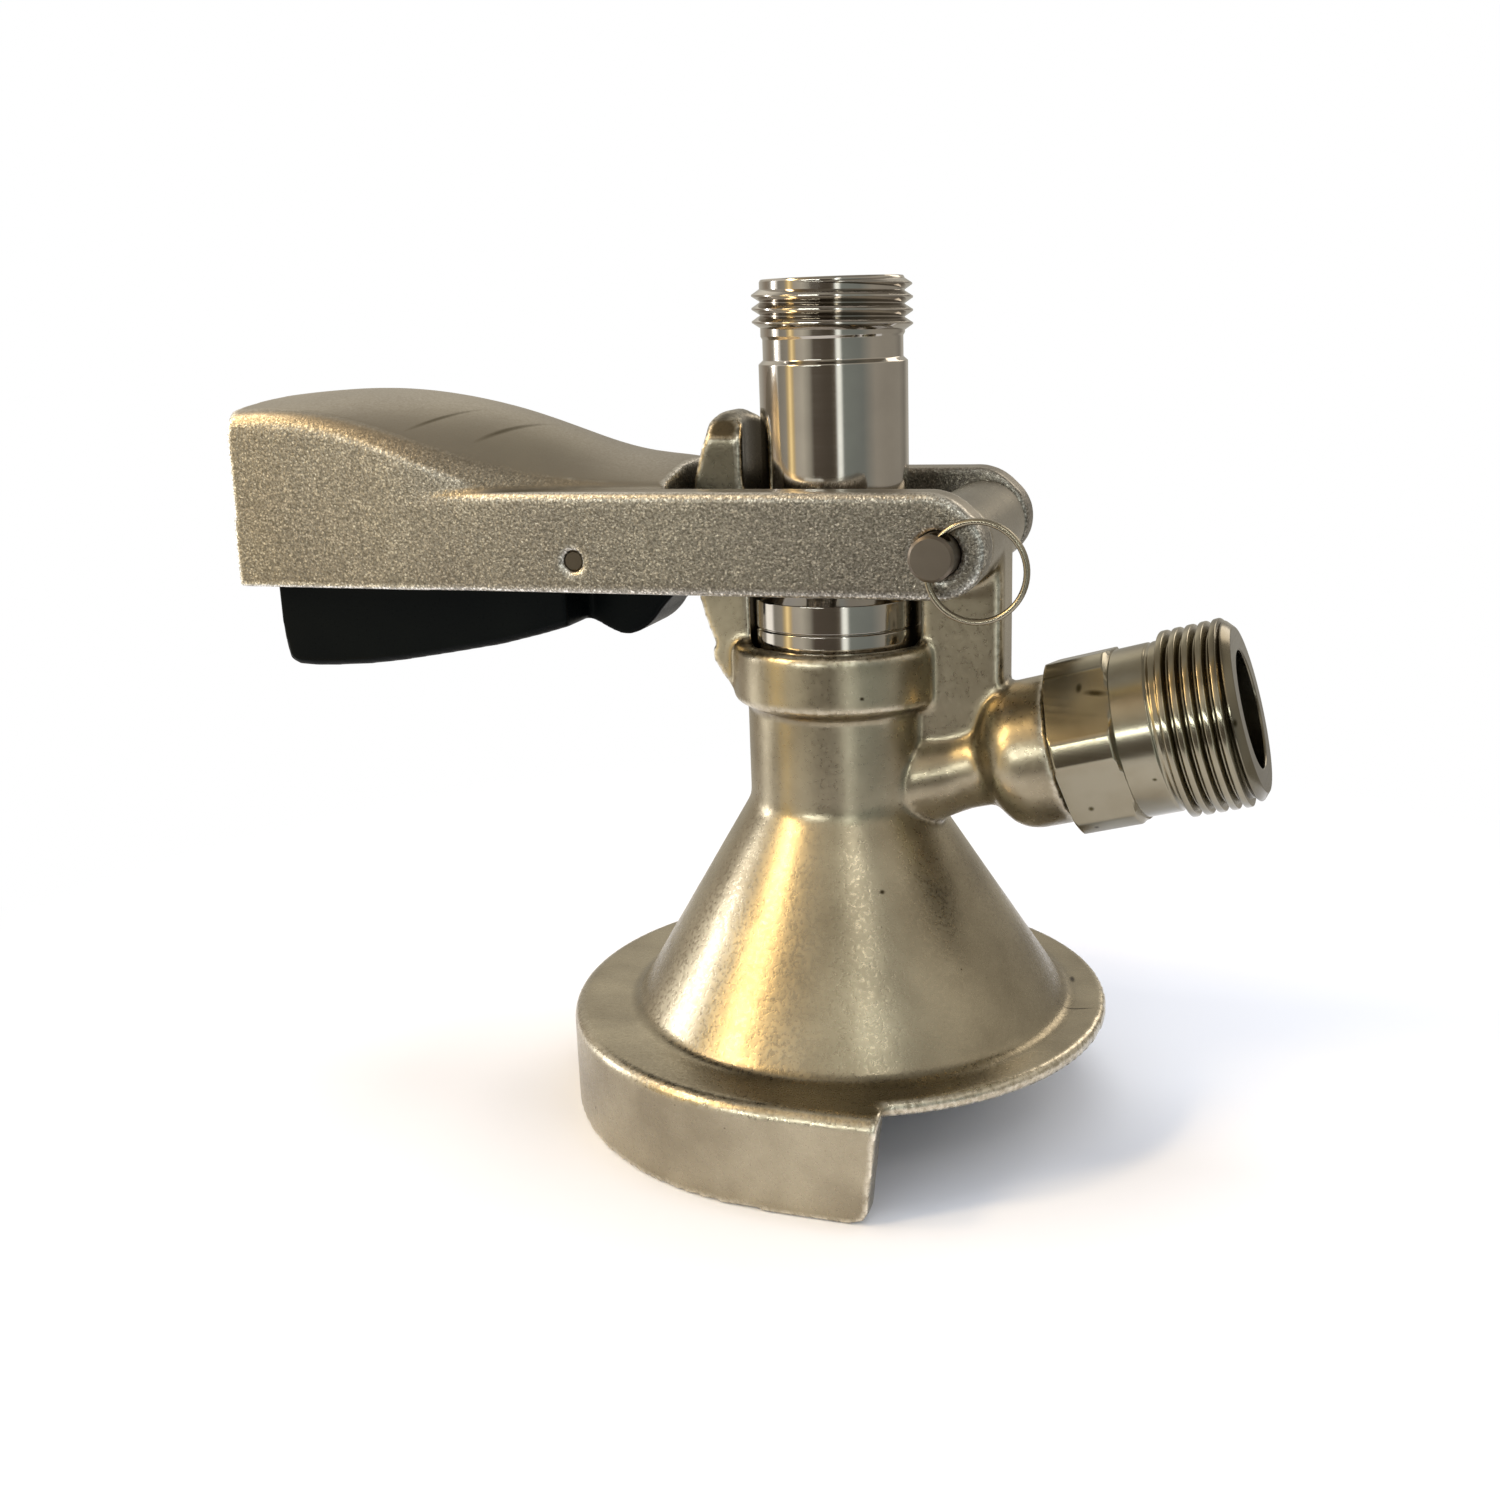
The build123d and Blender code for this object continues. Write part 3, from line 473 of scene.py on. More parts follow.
def lever_steel(name, colour):
    """Shot-blasted cast stainless steel: coarse sides with painted glints, a top rubbed to a smooth satin by hands and
    painted brighter as a highlight, painted highlights on the edges, and painted shade in the inner corners and
    towards the hinge.
    """
    material, tree, shader, place = new_material(name)
    shader.inputs["Metallic"].default_value = 1.0
    base = blotches(tree, place, 0.020, 0.35, 0.70, linear(colour), linear("#90897C"), 4.0, 0.3)
    edge = add(tree, "ShaderNodeNewGeometry")
    edge_highlight = add(tree, "ShaderNodeMapRange", {"Value": edge.outputs["Pointiness"], "From Min": 0.507,
                                           "From Max": 0.540})
    # Blasted grain is about 0.25 mm; each facet takes its own brightness, which breaks up the painted edge highlight
    # and gives grain tone with painted glints
    facets = add(tree, "ShaderNodeTexVoronoi", {"Vector": place, "Scale": 4200.0})
    broken = add(tree, "ShaderNodeMapRange", {"Value": facets.outputs["Color"], "From Min": 0.35, "From Max": 0.6,
                                              "To Min": 0.40, "To Max": 1.0})
    share = add(tree, "ShaderNodeMath", {0: edge_highlight.outputs[0], 1: broken.outputs[0]}, operation="MULTIPLY")
    # The painted edge highlight is weaker on the far arm than on the near arm
    along = add(tree, "ShaderNodeSeparateXYZ", {0: place})
    side = add(tree, "ShaderNodeMapRange", {"Value": along.outputs["Y"], "From Min": -0.008, "From Max": 0.012,
                                            "To Min": 1.0, "To Max": 0.30})
    share = add(tree, "ShaderNodeMath", {0: share.outputs[0], 1: side.outputs[0]}, operation="MULTIPLY")
    highlighted = add(tree, "ShaderNodeMix", {"Factor": share.outputs[0], 6: base, 7: linear("#F4F1EA")},
               data_type="RGBA")
    # Painted glints: over an even grain tone, the brightest facets are painted up to twice as bright
    grain_glints = add(tree, "ShaderNodeMapRange", {"Value": facets.outputs["Color"], "From Min": 0.62, "From Max": 0.92,
                                               "To Min": 0.94, "To Max": 2.0})
    dust = add(tree, "ShaderNodeTexNoise", {"Vector": place, "Scale": 2400.0, "Detail": 1.0})
    dim = add(tree, "ShaderNodeMapRange", {"Value": dust.outputs["Fac"], "From Min": 0.35, "From Max": 0.60,
                                           "To Min": 0.62, "To Max": 1.08})
    speckled = add(tree, "ShaderNodeMath", {0: grain_glints.outputs[0], 1: dim.outputs[0]}, operation="MULTIPLY")
    # Painted highlight: upward faces lose the glints and are painted 1.3 times brighter
    up = add(tree, "ShaderNodeSeparateXYZ", {0: edge.outputs["Normal"]})
    top = add(tree, "ShaderNodeMapRange", {"Value": up.outputs["Z"], "From Min": 0.45, "From Max": 0.8})
    glints_and_lit_top = add(tree, "ShaderNodeMix", {"Factor": top.outputs[0], 2: speckled.outputs[0], 3: 1.3},
               data_type="FLOAT")
    tinted = add(tree, "ShaderNodeVectorMath", {0: highlighted.outputs[2], "Scale": glints_and_lit_top.outputs[0]}, operation="SCALE")
    # Painted shade: the inner corners are painted darker
    corner_shade = add(tree, "ShaderNodeMapRange", {"Value": edge.outputs["Pointiness"], "From Min": 0.450,
                                             "From Max": 0.488})
    shaded = add(tree, "ShaderNodeMix", {"Factor": corner_shade.outputs[0], 6: linear("#3E3728"), 7: tinted.outputs[0]},
                 data_type="RGBA")
    # Painted shade: the arms are painted a little darker towards the hinge
    painted_shade = add(tree, "ShaderNodeMapRange", {"Value": along.outputs["X"], "From Min": -0.060, "From Max": 0.005,
                                            "To Min": 1.0, "To Max": 0.76})
    tinted = add(tree, "ShaderNodeVectorMath", {0: shaded.outputs[2], "Scale": painted_shade.outputs[0]}, operation="SCALE")
    # Two faint darker lines across the handle's top
    marked = flecks(tree, place, tinted.outputs[0], "#6A6250", (
        ((-47.3, -8.6, 103.1), (8.5, 0.6, 2.2), 62.6), ((-57.1, -11.5, 105.2), (8.5, 0.5, 2.2), 61.5)))
    tree.links.new(marked, shader.inputs["Base Color"])
    fine = add(tree, "ShaderNodeTexNoise", {"Vector": place, "Scale": 2600.0, "Detail": 2.0, "Roughness": 0.7})
    gloss = add(tree, "ShaderNodeMapRange", {"Value": fine.outputs["Fac"], "From Min": 0.3, "From Max": 0.7,
                                             "To Min": 0.30, "To Max": 0.48})
    tree.links.new(gloss.outputs[0], shader.inputs["Roughness"])
    coarse = add(tree, "ShaderNodeMix", {"Factor": top.outputs[0], 2: 0.00010, 3: 0.000012}, data_type="FLOAT")
    bump = add(tree, "ShaderNodeBump", {"Strength": 0.8, "Distance": coarse.outputs[0],
                                        "Height": fine.outputs["Fac"]})
    tree.links.new(bump.outputs[0], shader.inputs["Normal"])
    return material


def lathe_steel(name, colour, roughness, across=0.0, stain=None, tool=0.000004,
                marks=None, shaded_end=None):
    """Turned and polished metal: fine rings left by the tool, which stretch reflections along the axis."""
    material, tree, shader, place = new_material(name)
    shader.inputs["Metallic"].default_value = 1.0
    base = blotches(tree, place, 0.008, 0.35, 0.7, linear(colour), linear("#DAD5CB") if not stain else linear(stain),
                    3.0, 0.7)
    if marks:
        base = flecks(tree, place, base, "#4A4431", marks)
    # Painted shade: the part is painted darker towards one end along its axis
    if shaded_end:
        axis, first, last, share = shaded_end
        along = add(tree, "ShaderNodeVectorMath", {0: place, 1: axis}, operation="DOT_PRODUCT").outputs["Value"]
        painted_shade = add(tree, "ShaderNodeMapRange", {"Value": along, "From Min": first, "From Max": last,
                                                "To Min": 1.0, "To Max": share})
        base = add(tree, "ShaderNodeVectorMath", {0: base, "Scale": painted_shade.outputs[0]}, operation="SCALE").outputs[0]
    tree.links.new(base, shader.inputs["Base Color"])
    # Tool marks 0.15 mm apart, drawn at 0.3 mm so that they show
    thin = add(tree, "ShaderNodeMapping", {"Vector": place, "Scale": (60.0, 60.0, 3300.0),
                                           "Rotation": (0.0, across, 0.0)}, vector_type="POINT")
    cuts = add(tree, "ShaderNodeTexNoise", {"Vector": thin.outputs[0], "Scale": 1.0, "Detail": 2.0})
    gloss = add(tree, "ShaderNodeMapRange", {"Value": cuts.outputs["Fac"], "From Min": 0.3, "From Max": 0.7,
                                             "To Min": roughness - 0.015, "To Max": roughness + 0.02})
    tree.links.new(gloss.outputs[0], shader.inputs["Roughness"])
    bump = add(tree, "ShaderNodeBump", {"Strength": 0.15, "Distance": tool, "Height": cuts.outputs["Fac"]})
    tree.links.new(bump.outputs[0], shader.inputs["Normal"])
    return material


def moulded(name, colour, other, roughness, grain, depth, sheen=0.5):
    """Moulded plastic or rubber: an even colour with a fine moulded texture."""
    material, tree, shader, place = new_material(name)
    shader.inputs["Specular IOR Level"].default_value = sheen
    base = blotches(tree, place, 0.015, 0.4, 0.75, linear(colour), linear(other), 3.0, 1.1)
    tree.links.new(base, shader.inputs["Base Color"])
    fine = add(tree, "ShaderNodeTexNoise", {"Vector": place, "Scale": 1 / grain, "Detail": 2.0})
    gloss = add(tree, "ShaderNodeMapRange", {"Value": fine.outputs["Fac"], "From Min": 0.3, "From Max": 0.7,
                                             "To Min": roughness - 0.06, "To Max": roughness + 0.06})
    tree.links.new(gloss.outputs[0], shader.inputs["Roughness"])
    bump = add(tree, "ShaderNodeBump", {"Strength": 0.4, "Distance": depth, "Height": fine.outputs["Fac"]})
    tree.links.new(bump.outputs[0], shader.inputs["Normal"])
    return material


# Pieces

class COUPLER_OT_stage(bpy.types.Operator):
    """Makes the camera at the photograph's view, the soft lamps and the pale floor"""
    bl_idname = "coupler.stage"
    bl_label = "Camera, lamps and floor"

    def execute(self, context):
        look = context.scene.coupler_camera
        around, turn, down, roll = (radians(v) for v in (look.azimuth, look.azimuth + look.yaw, look.pitch,
                                                         look.roll))
        ahead = Vector((-sin(turn) * cos(down), cos(turn) * cos(down), -sin(down)))
        level = Vector((cos(turn), sin(turn), 0))
        above = level.cross(ahead)
        right = cos(roll) * level + sin(roll) * above
        up = -sin(roll) * level + cos(roll) * above
        data = bpy.data.cameras.new("Camera")
        data.sensor_width = 36.0
        data.lens = look.lens
        data.clip_start = 0.01
        camera = bpy.data.objects.new("Camera", data)
        context.scene.collection.objects.link(camera)
        place = Vector((look.distance * sin(around), -look.distance * cos(around), look.height))
        camera.matrix_world = Matrix.Translation(place) @ Matrix((right, up, -ahead)).transposed().to_4x4()
        context.scene.camera = camera

        for name, bearing, lift, reach, size, power, colour in (
                ("Warm window", -143, 29, 1.15, (0.16, 0.55), 5.0, "#FFDFA4"),
                ("High window", -160, 46, 1.15, (0.18, 0.16), 2.6, "#FFE0B4"),
                ("Left window", 181, 6, 1.20, (0.10, 0.50), 2.8, "#FFFFFF"),
                ("Low window", -108, 9, 1.15, (0.60, 0.05), 2.2, "#F8FFFC"),
                ("Front strip", -67, 18, 1.10, (0.05, 0.50), 0.7, "#F4FFFA"),
                ("Front lamp", -62, 45, 1.10, (0.12, 0.22), 0.5, "#FFFCF4"),
                ("Right lamp", 62, 30, 1.20, (0.40, 0.60), 2.0, "#FFF4E4"),
                ("Top lamp", 90, 78, 1.10, (0.70, 0.50), 3.6, "#FFFFFF")):
            lamp = bpy.data.lights.new(name, "AREA")
            lamp.shape = "RECTANGLE"
            lamp.size, lamp.size_y = size
            lamp.energy = power
            lamp.color = linear(colour)[:3]
            holder = bpy.data.objects.new(name, lamp)
            away = Vector((cos(radians(lift)) * cos(radians(bearing)), cos(radians(lift)) * sin(radians(bearing)),
                           sin(radians(lift))))
            holder.location = away * reach + Vector((0, 0, 0.07))
            holder.rotation_euler = away.to_track_quat("Z", "Y").to_euler()
            # The top lamp only fills: a lit ceiling would show in every upward face
            holder.visible_glossy = name != "Top lamp"
            context.scene.collection.objects.link(holder)

        world = bpy.data.worlds.new("Studio")
        world.use_nodes = True
        tree = world.node_tree
        tree.nodes.clear()
        rays = add(tree, "ShaderNodeLightPath").outputs
        shown = add(tree, "ShaderNodeMath", {0: rays["Is Camera Ray"], 1: rays["Is Glossy Ray"]},
                    operation="MAXIMUM")
        shown = add(tree, "ShaderNodeMath", {0: shown.outputs[0], 1: rays["Is Transmission Ray"]},
                    operation="MAXIMUM")
        strength = add(tree, "ShaderNodeMapRange", {"Value": shown.outputs[0], "To Min": 0.80, "To Max": 1.0})
        # Matt surfaces get a slightly cool fill, which balances the warm window
        tone = add(tree, "ShaderNodeMix", {"Factor": shown.outputs[0], 6: linear("#F3F6FF"), 7: linear("#FFFFFF")},
                   data_type="RGBA")
        sky = add(tree, "ShaderNodeBackground", {"Color": tone.outputs[2], "Strength": strength.outputs[0]})
        add(tree, "ShaderNodeOutputWorld", {"Surface": sky.outputs[0]})
        context.scene.world = world
        context.scene.view_settings.view_transform = "Standard"

        # Matt white paper: keeps a soft shadow near the coupler and melts into the white background further out
        paper = bpy.data.materials.new("White paper floor")
        paper.use_nodes = True
        tree = paper.node_tree
        tree.nodes.clear()
        matt = add(tree, "ShaderNodeBsdfDiffuse", {"Color": linear("#F1F2F5")})
        glow = add(tree, "ShaderNodeEmission", {"Color": (1.0, 1.0, 1.0, 1.0)})
        where = add(tree, "ShaderNodeVectorMath", {0: add(tree, "ShaderNodeTexCoord").outputs["Object"]},
                    operation="LENGTH")
        far = add(tree, "ShaderNodeMapRange", {"Value": where.outputs["Value"], "From Min": 0.07,
                                               "From Max": 0.20}, interpolation_type="SMOOTHSTEP")
        both = add(tree, "ShaderNodeMixShader", {0: far.outputs[0], 1: matt.outputs[0], 2: glow.outputs[0]})
        add(tree, "ShaderNodeOutputMaterial", {"Surface": both.outputs[0]})
        low = CAD_BOX[0][2] - 0.0002
        floor = sheet("Floor", ((1e-4, low), (1.7, low)), paper)

        # Glowing grey studio sheet that only reflections see: dark behind the camera, with painted pale windows that
        # glow, and a dim ceiling
        glowing_backdrop = bpy.data.materials.new("Grey studio wall")
        glowing_backdrop.use_nodes = True
        tree = glowing_backdrop.node_tree
        tree.nodes.clear()
        place = add(tree, "ShaderNodeTexCoord").outputs["Object"]
        parts = add(tree, "ShaderNodeSeparateXYZ", {0: place}).outputs
        bearing = add(tree, "ShaderNodeMath", {0: parts["Y"], 1: parts["X"]}, operation="ARCTAN2")
        share = add(tree, "ShaderNodeMapRange", {"Value": bearing.outputs[0], "From Min": -pi, "From Max": pi})
        low_stops = ((-180, "#FFFDF8"), (-173, "#F9F7F3"), (-168, "#827F77"), (-154, "#8F8B83"), (-149, "#BCA87C"),
               (-145, "#FFE5AA"), (-140, "#BCA87C"), (-136, "#A5A097"), (-123, "#AEAA9F"), (-112, "#8B887F"),
               (-106, "#504941"), (-78, "#48423A"), (-72, "#5D564C"), (-68, "#F9FFFD"), (-64, "#F9FFFD"),
               (-60, "#767C79"), (-30, "#6F7472"), (-8, "#8F8B83"), (14, "#89857D"), (45, "#89857D"),
               (63, "#736F68"), (80, "#959188"), (96, "#86837B"), (114, "#938F86"), (140, "#959188"),
               (160, "#82786C"), (172, "#89857D"), (176, "#FFFDF8"), (180, "#FFFDF8"))
        high_stops = ((-180, "#C4C2BE"), (-160, "#CBC6BA"), (-147, "#E1C995"), (-130, "#B7A998"), (-102, "#B3AEA4"),
               (-75, "#AEAA9F"), (-58, "#A6AAA8"), (-30, "#A5A097"), (14, "#AAA59B"), (60, "#959188"),
               (96, "#A8A399"), (118, "#CBC6BA"), (150, "#B3AEA4"), (180, "#C4C2BE"))
        shades = []
        for stops in (low_stops, high_stops):
            node = add(tree, "ShaderNodeValToRGB", {0: share.outputs[0]})
            ramp = node.color_ramp.elements
            while len(ramp) < len(stops):
                ramp.new(0.5)
            for mark, (angle, code) in zip(ramp, stops):
                mark.position = (angle + 180) / 360
                mark.color = linear(code)
            shades.append(node.outputs[0])
        # How steeply the point is seen from the coupler, as height over distance
        reach = add(tree, "ShaderNodeMath", {0: add(tree, "ShaderNodeVectorMath", {0: place}, operation="LENGTH")
                    .outputs["Value"], 1: 0.001}, operation="MAXIMUM")
        rise = add(tree, "ShaderNodeMath", {0: add(tree, "ShaderNodeMath", {0: parts["Z"], 1: 0.05},
                    operation="SUBTRACT").outputs[0], 1: reach.outputs[0]}, operation="DIVIDE").outputs[0]
        above = add(tree, "ShaderNodeMapRange", {"Value": rise, "From Min": 0.26, "From Max": 0.53})
        both = add(tree, "ShaderNodeMix", {"Factor": above.outputs[0], 6: shades[0], 7: shades[1]}, data_type="RGBA")
        roof = add(tree, "ShaderNodeMapRange", {"Value": rise, "From Min": 0.66, "From Max": 0.76, "To Min": 2.0,
                                                "To Max": 1.0})
        lit = add(tree, "ShaderNodeEmission", {"Color": both.outputs[2], "Strength": roof.outputs[0]})
        add(tree, "ShaderNodeOutputMaterial", {"Surface": lit.outputs[0]})
        wall = sheet("Studio_wall", [(0.15, low + 0.0006), (1.5, low + 0.0006)] +
                     [(1.5 * cos(a), 0.4 + 1.5 * sin(a)) for a in (radians(15 * k) for k in range(6))] +
                     [(0.02, 1.9)], glowing_backdrop)
        for seen in ("visible_camera", "visible_diffuse", "visible_shadow", "visible_transmission"):
            setattr(wall, seen, False)
        return {"FINISHED"}


class COUPLER_OT_body(bpy.types.Operator):
    """Gives the cast body its soft edges and satin skin"""
    bl_idname = "coupler.body"
    bl_label = "Cast body"

    def execute(self, context):
        cast = context.scene.coupler_casting
        steel = cast_steel("Investment-cast stainless, bead-blasted", cast.body_colour, cast.body_warm, 0.00062,
                           0.000065, 0.30)
        finish_mesh("body_casting", casting("coupler_body", cast.body_voxel, cast.soften), "body", steel,
                    "coupler_body")
        return {"FINISHED"}


class COUPLER_OT_lever(bpy.types.Operator):
    """Gives the cast lever its soft edges and coarse blasted skin"""
    bl_idname = "coupler.lever"
    bl_label = "Cast lever"

    def execute(self, context):
        cast = context.scene.coupler_casting
        steel = lever_steel("Shot-blasted cast stainless", cast.lever_colour)
        finish_mesh("lever_casting", casting("lever_handle", cast.lever_voxel, cast.soften), "lever", steel,
                    "lever_handle")
        return {"FINISHED"}


class COUPLER_OT_trigger(bpy.types.Operator):
    """Gives the moulded trigger its rounded edges and black nylon"""
    bl_idname = "coupler.trigger"
    bl_label = "Moulded trigger"

    def execute(self, context):
        cast = context.scene.coupler_casting
        nylon = moulded("Black moulded nylon", cast.trigger_colour, "#0B0E0D", 0.32, 0.0004,
                        0.00001, 0.05)
        finish_mesh("trigger_moulding", casting("trigger", cast.trigger_voxel, cast.soften), "trigger", nylon,
                    "trigger")
        return {"FINISHED"}


class COUPLER_OT_probe(bpy.types.Operator):
    """Turns the polished probe and cuts its outlet thread"""
    bl_idname = "coupler.probe"
    bl_label = "Threaded probe"

    def execute(self, context):
        size = context.scene.coupler_thread
        steel = lathe_steel("Polished stainless tube", size.probe_colour, 0.085, 0.0, "#B2ACA3",
                            0.000001)
        middle, axis, dims = mount("beer_outlet")
        crest, wall = dims["r_mm"] * MM, dims["length_mm"] * MM
        low, high = middle.z - wall / 2 - 0.6 * MM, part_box("probe")[1].z
        bore = mount("beer_bore")[2]["r_mm"] * MM
        root = crest - size.depth
        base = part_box("probe")[0].z
        outline = [(bore, high), (root - 0.2 * MM, high), (root, high - 0.35 * MM), (root, low - 0.2 * MM),
                   (10.05 * MM, low - 0.6 * MM), (10.05 * MM, low - 3.5 * MM), (10.69 * MM, low - 4.05 * MM),
                   (10.69 * MM, 86.36 * MM), (8.8 * MM, 86.36 * MM), (8.8 * MM, 79.64 * MM),
                   (11.4 * MM, 79.64 * MM), (12.7 * MM, 78.34 * MM), (12.7 * MM, 74.4 * MM),
                   (12.5 * MM, 74.2 * MM), (12.7 * MM, 74.0 * MM), (12.7 * MM, 69.8 * MM), (10.69 * MM, 69.8 * MM),
                   (10.69 * MM, 44 * MM), (7.8 * MM, 42 * MM), (7.8 * MM, 19.2 * MM),
                   (10.2 * MM, 18 * MM), (10.2 * MM, base), (6 * MM, base), (6 * MM, 31 * MM),
                   (bore, 32.2 * MM)]
        core = turned(rounded(outline, 0.25 * MM, 3), 160)
        turns = (high - low - 0.9 * MM) / size.pitch
        ridge = grown(thread_tree(), {
            "Root radius": root, "Pitch": size.pitch, "Depth": size.depth, "Crest": 0.12, "Turns": turns,
            "Steps": size.steps, "Fade": 0.35, "Place": (0.0, 0.0, low + 0.3 * MM), "Turn": (0.0, 0.0, radians(148)), "Material": steel})
        finish_mesh("probe_turned", joined(core, ridge), "probe", steel, "probe", 32)
        return {"FINISHED"}


class COUPLER_OT_nipple(bpy.types.Operator):
    """Turns the gas nipple with its hexagon and cuts its thread"""
    bl_idname = "coupler.nipple"
    bl_label = "Threaded gas nipple"

    def execute(self, context):
        size = context.scene.coupler_thread
        middle, axis, dims = mount("gas_inlet")
        mouth, _, hole = mount("gas_mouth")
        crest, wall = dims["r_mm"] * MM, dims["length_mm"] * MM
        end = (mouth + axis * hole["length_mm"] * MM / 2)
        brass = lathe_steel("Nickel-plated brass", size.nipple_colour, 0.19, -axis.angle(Vector((0, 0, 1))),
                            "#857C68", 0.0000008, (
                                ((39.2, -12.6, 51.1), (0.5, 0.5, 0.5), 0), ((39.8, -10.6, 47.8), (0.4, 0.6, 0.4), 0),
                                ((47.7, -14.0, 56.2), (0.4, 0.5, 0.3), 0), ((39.4, -11.2, 67.2), (2.1, 1.0, 0.5), 0),
                                ((36.9, -10.4, 67.6), (0.5, 0.9, 0.9), 0), ((35.2, -5.2, 70.4), (2.6, 1.6, 0.7), 8),
                                ((57.8, -15.8, 65.0), (0.5, 0.5, 0.7), 0)),
                            (axis, end.dot(axis) - 2.6 * MM, end.dot(axis) - 1.7 * MM, 0.60))
        root = crest - size.depth
        # Heights run outward from the mouth's end, which is at zero
        face, hex_end, start = -25.55 * MM, -16.5 * MM, -10.9 * MM
        outline = [(hole["r_mm"] * MM, 0), (crest - 1.6 * MM, 0), (crest - 1.2 * MM, -0.35 * MM),
                   (crest - 0.35 * MM, -1.1 * MM), (root, -1.6 * MM), (root, start - 0.1 * MM),
                   (crest - 1.35 * MM, start - 0.6 * MM), (12.1 * MM, start - 0.9 * MM),
                   (12.1 * MM, hex_end + 0.2 * MM), (12.1 * MM, face), (9.3 * MM, face), (9.3 * MM, -32.9 * MM),
                   (5.0 * MM, -32.9 * MM), (5.0 * MM, -27.9 * MM), (5.6 * MM, -25.9 * MM), (5.6 * MM, -12 * MM),
                   (7.6 * MM, -12 * MM), (7.6 * MM, -9 * MM), (hole["r_mm"] * MM, -9 * MM)]
        core = turned(rounded(outline, 0.3 * MM, 3), 160)
        hexagon = [(6 * MM, face), (13.0 * MM, face), (13.3 * MM, face + 0.3 * MM),
                   (13.3 * MM, hex_end - 0.5 * MM), (12.3 * MM, hex_end), (6 * MM, hex_end)]
        flats = 12.3 * MM
        first_flat = radians(23)

        def faceted(radius, height, angle):
            away = (angle - first_flat + pi / 6) % (pi / 3) - pi / 6
            return min(radius, flats / cos(away))

        nut = turned(rounded(hexagon, 0.4 * MM, 3), 288, faceted)
        turns = (-1.5 * MM - start) / size.pitch
        ridge = grown(thread_tree(), {
            "Root radius": root, "Pitch": size.pitch, "Depth": size.depth, "Crest": 0.42, "Turns": turns,
            "Steps": size.steps, "Fade": 0.3, "Place": (0.0, 0.0, start + 0.3 * MM), "Turn": (0.0, 0.0, 0.0), "Material": brass})
        whole = joined(core, nut, ridge)
        side = Vector((-axis.y, axis.x, 0)).normalized()
        turn = Matrix((side, axis.cross(side), axis)).transposed().to_4x4()
        whole.transform(Matrix.Translation(end) @ turn)
        finish_mesh("nipple_turned", whole, "body", brass, "gas_nipple", 32)
        return {"FINISHED"}


class COUPLER_OT_ring(bpy.types.Operator):
    """Winds the split ring"""
    bl_idname = "coupler.ring"
    bl_label = "Split ring and hinge pin"

    def execute(self, context):
        size = context.scene.coupler_ring
        spring = lathe_steel("Spring wire", "#99917F", 0.24, 0.0, "#8D8575")
        hole, tilt = joint_at("ring_swing")
        across = tilt.cross(Vector((0, 1, 0))) * -1
        centre = hole + across.normalized() * (size.radius - 0.75 * MM)
        if (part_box("split_ring")[0].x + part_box("split_ring")[1].x) / 2 < hole.x:
            centre = hole - across.normalized() * (size.radius - 0.75 * MM)
        rise = 2 * size.wire * 0.92
        lean = Matrix((tilt.cross(Vector((0, 1, 0))), tilt, Vector((0, -1, 0)))).transposed().to_euler()
        wire = grown(wire_tree(), {
            "Radius": size.radius, "Wire": size.wire * 0.98, "Turns": size.turns, "Rise": rise,
            "Place": tuple(centre + Vector((0, rise / 2, 0))), "Turn": tuple(lean), "Material": spring})
        finish_mesh("split_ring_wire", wire, "split_ring", spring, "split_ring", 60)
        return {"FINISHED"}


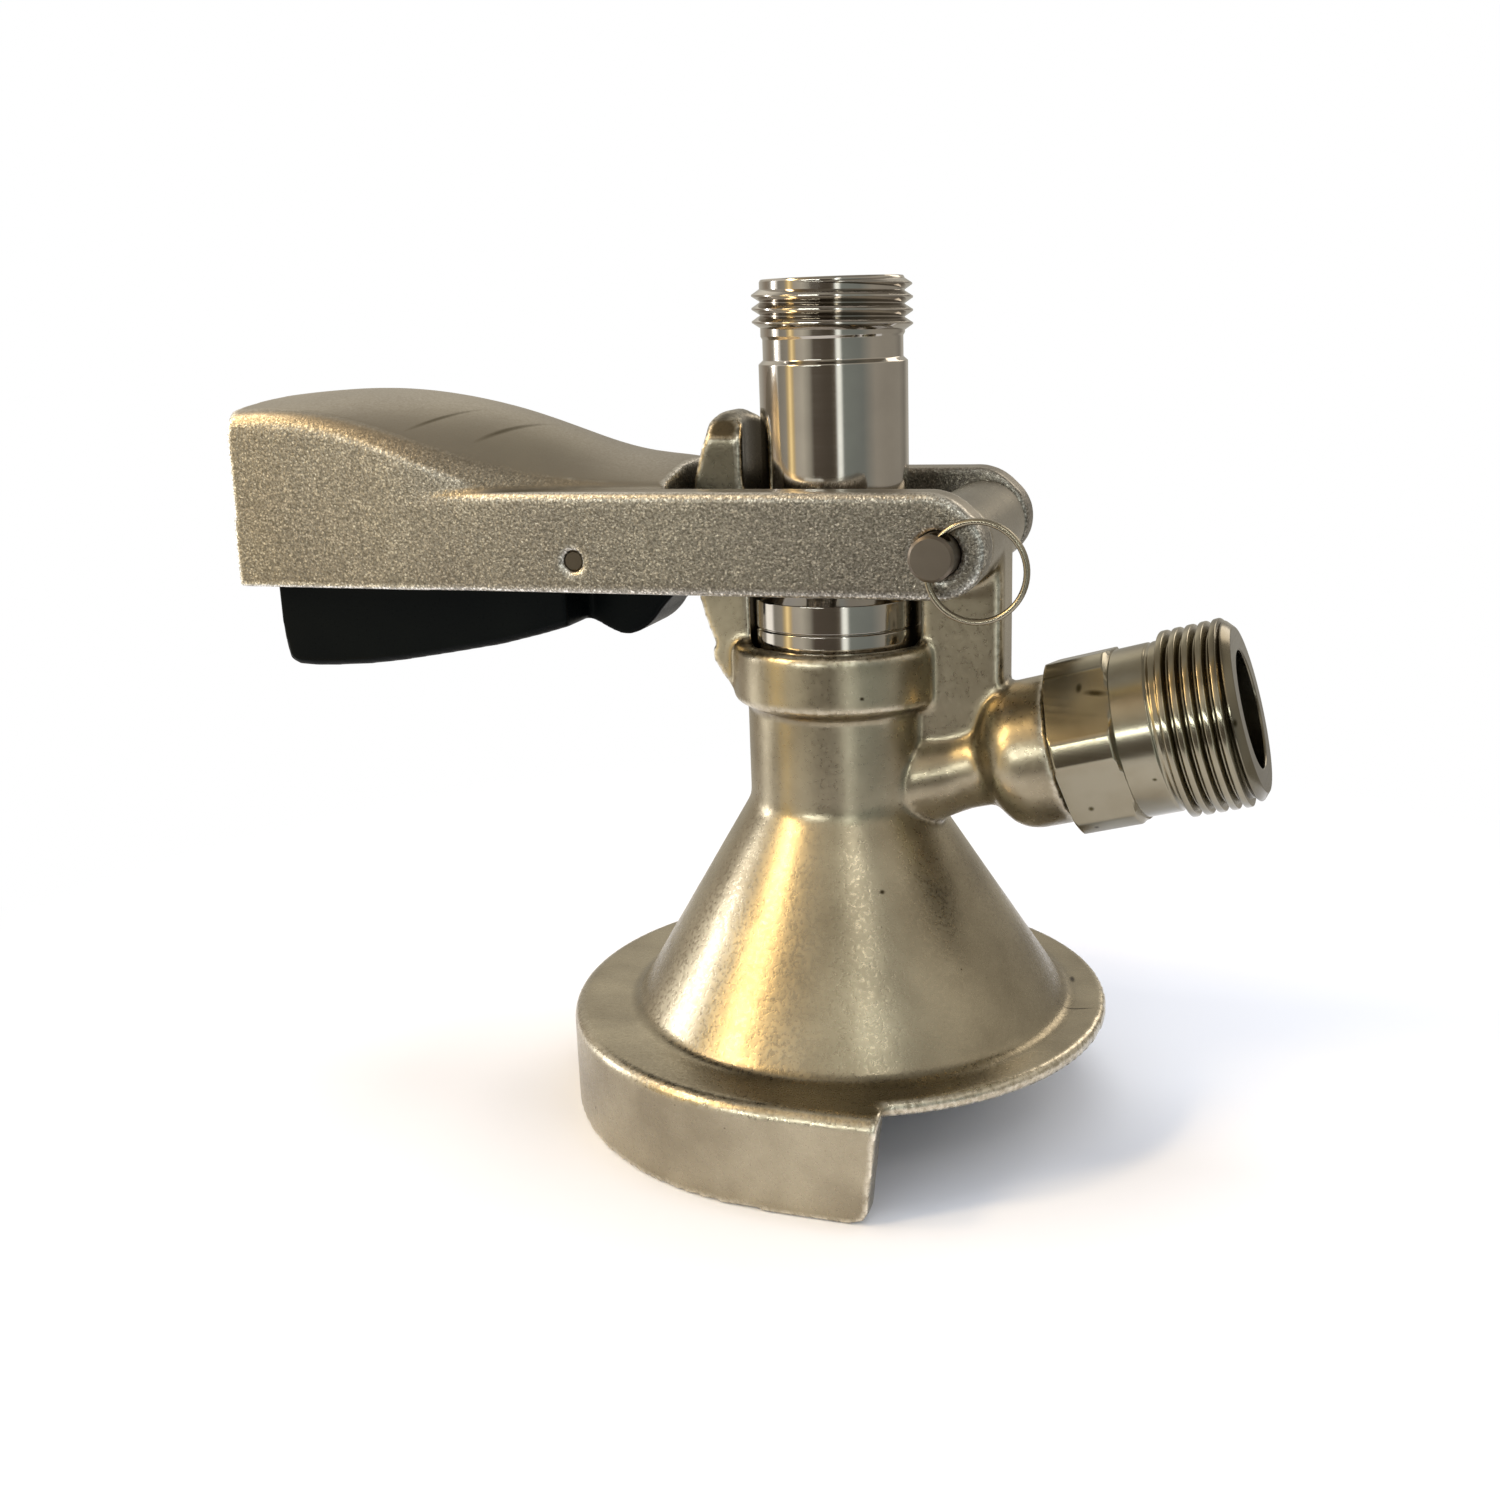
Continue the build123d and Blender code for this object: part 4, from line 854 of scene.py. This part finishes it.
class COUPLER_OT_small_parts(bpy.types.Operator):
    """Gives the seals, the ball, the pins and the spring their materials"""
    bl_idname = "coupler.small_parts"
    bl_label = "Seals, pins and spring"

    def execute(self, context):
        rubber = moulded("Black moulded rubber", "#141414", "#1C1B1A", 0.55, 0.0006, 0.00001)
        acetal = moulded("White acetal ball", "#E9E6DC", "#DEDACD", 0.25, 0.0005, 0.000004)
        nylon = moulded("Dark nylon retainer", "#26282A", "#303234", 0.45, 0.0004, 0.000008)
        small = lathe_steel("Dull steel pin", "#4B443A", 0.40, 0.0, "#544C42")
        pin = lathe_steel("Turned steel pin", "#6B6258", 0.36, 0.0, "#766D62")
        spring = lathe_steel("Spring steel wire", "#A7A39B", 0.25)
        polished = lathe_steel("Polished stainless nut", "#BDB8AD", 0.2)
        looks = {"keg_gasket": rubber, "neck_wiper": rubber, "neck_o_ring_lower": rubber,
                 "neck_o_ring_upper": rubber, "gas_washer": rubber, "duckbill_valve": rubber, "probe_seal": rubber,
                 "check_ball": acetal, "valve_retainer": nylon, "hinge_pin": pin, "trigger_pin": small,
                 "ball_stop_pin": pin, "trigger_spring": spring, "seal_retainer": polished}
        for node, material in looks.items():
            mesh = frame["nodes"][node].data
            mesh.materials.clear()
            mesh.materials.append(material)
        return {"FINISHED"}


class COUPLER_PT_panel(bpy.types.Panel):
    """Lists the coupler's pieces and sizes"""
    bl_idname = "COUPLER_PT_panel"
    bl_label = "Keg Coupler"
    bl_space_type = "VIEW_3D"
    bl_region_type = "UI"
    bl_category = "Keg Coupler"

    def draw(self, context):
        for settings in (context.scene.coupler_camera, context.scene.coupler_casting,
                         context.scene.coupler_thread, context.scene.coupler_ring):
            box = self.layout.box()
            for key in settings.__annotations__:
                box.prop(settings, key)
        for operator in OPERATORS:
            self.layout.operator(operator.bl_idname)


OPERATORS = (COUPLER_OT_stage, COUPLER_OT_body, COUPLER_OT_lever, COUPLER_OT_trigger, COUPLER_OT_probe,
             COUPLER_OT_nipple, COUPLER_OT_ring, COUPLER_OT_small_parts)
SETTINGS = {"coupler_camera": CameraSettings, "coupler_casting": CastingSettings,
            "coupler_thread": ThreadSettings, "coupler_ring": RingSettings}


def register():
    for cls in (*SETTINGS.values(), *OPERATORS, COUPLER_PT_panel):
        bpy.utils.register_class(cls)
    for name, cls in SETTINGS.items():
        setattr(bpy.types.Scene, name, PointerProperty(type=cls))


def unregister():
    for name in SETTINGS:
        delattr(bpy.types.Scene, name)
    for cls in reversed((*SETTINGS.values(), *OPERATORS, COUPLER_PT_panel)):
        bpy.utils.unregister_class(cls)


def main():
    register()
    for step in (bpy.ops.coupler.stage, bpy.ops.coupler.body, bpy.ops.coupler.lever, bpy.ops.coupler.trigger,
                 bpy.ops.coupler.probe, bpy.ops.coupler.nipple, bpy.ops.coupler.ring,
                 bpy.ops.coupler.small_parts):
        step()


if __name__ == "__main__":
    main()
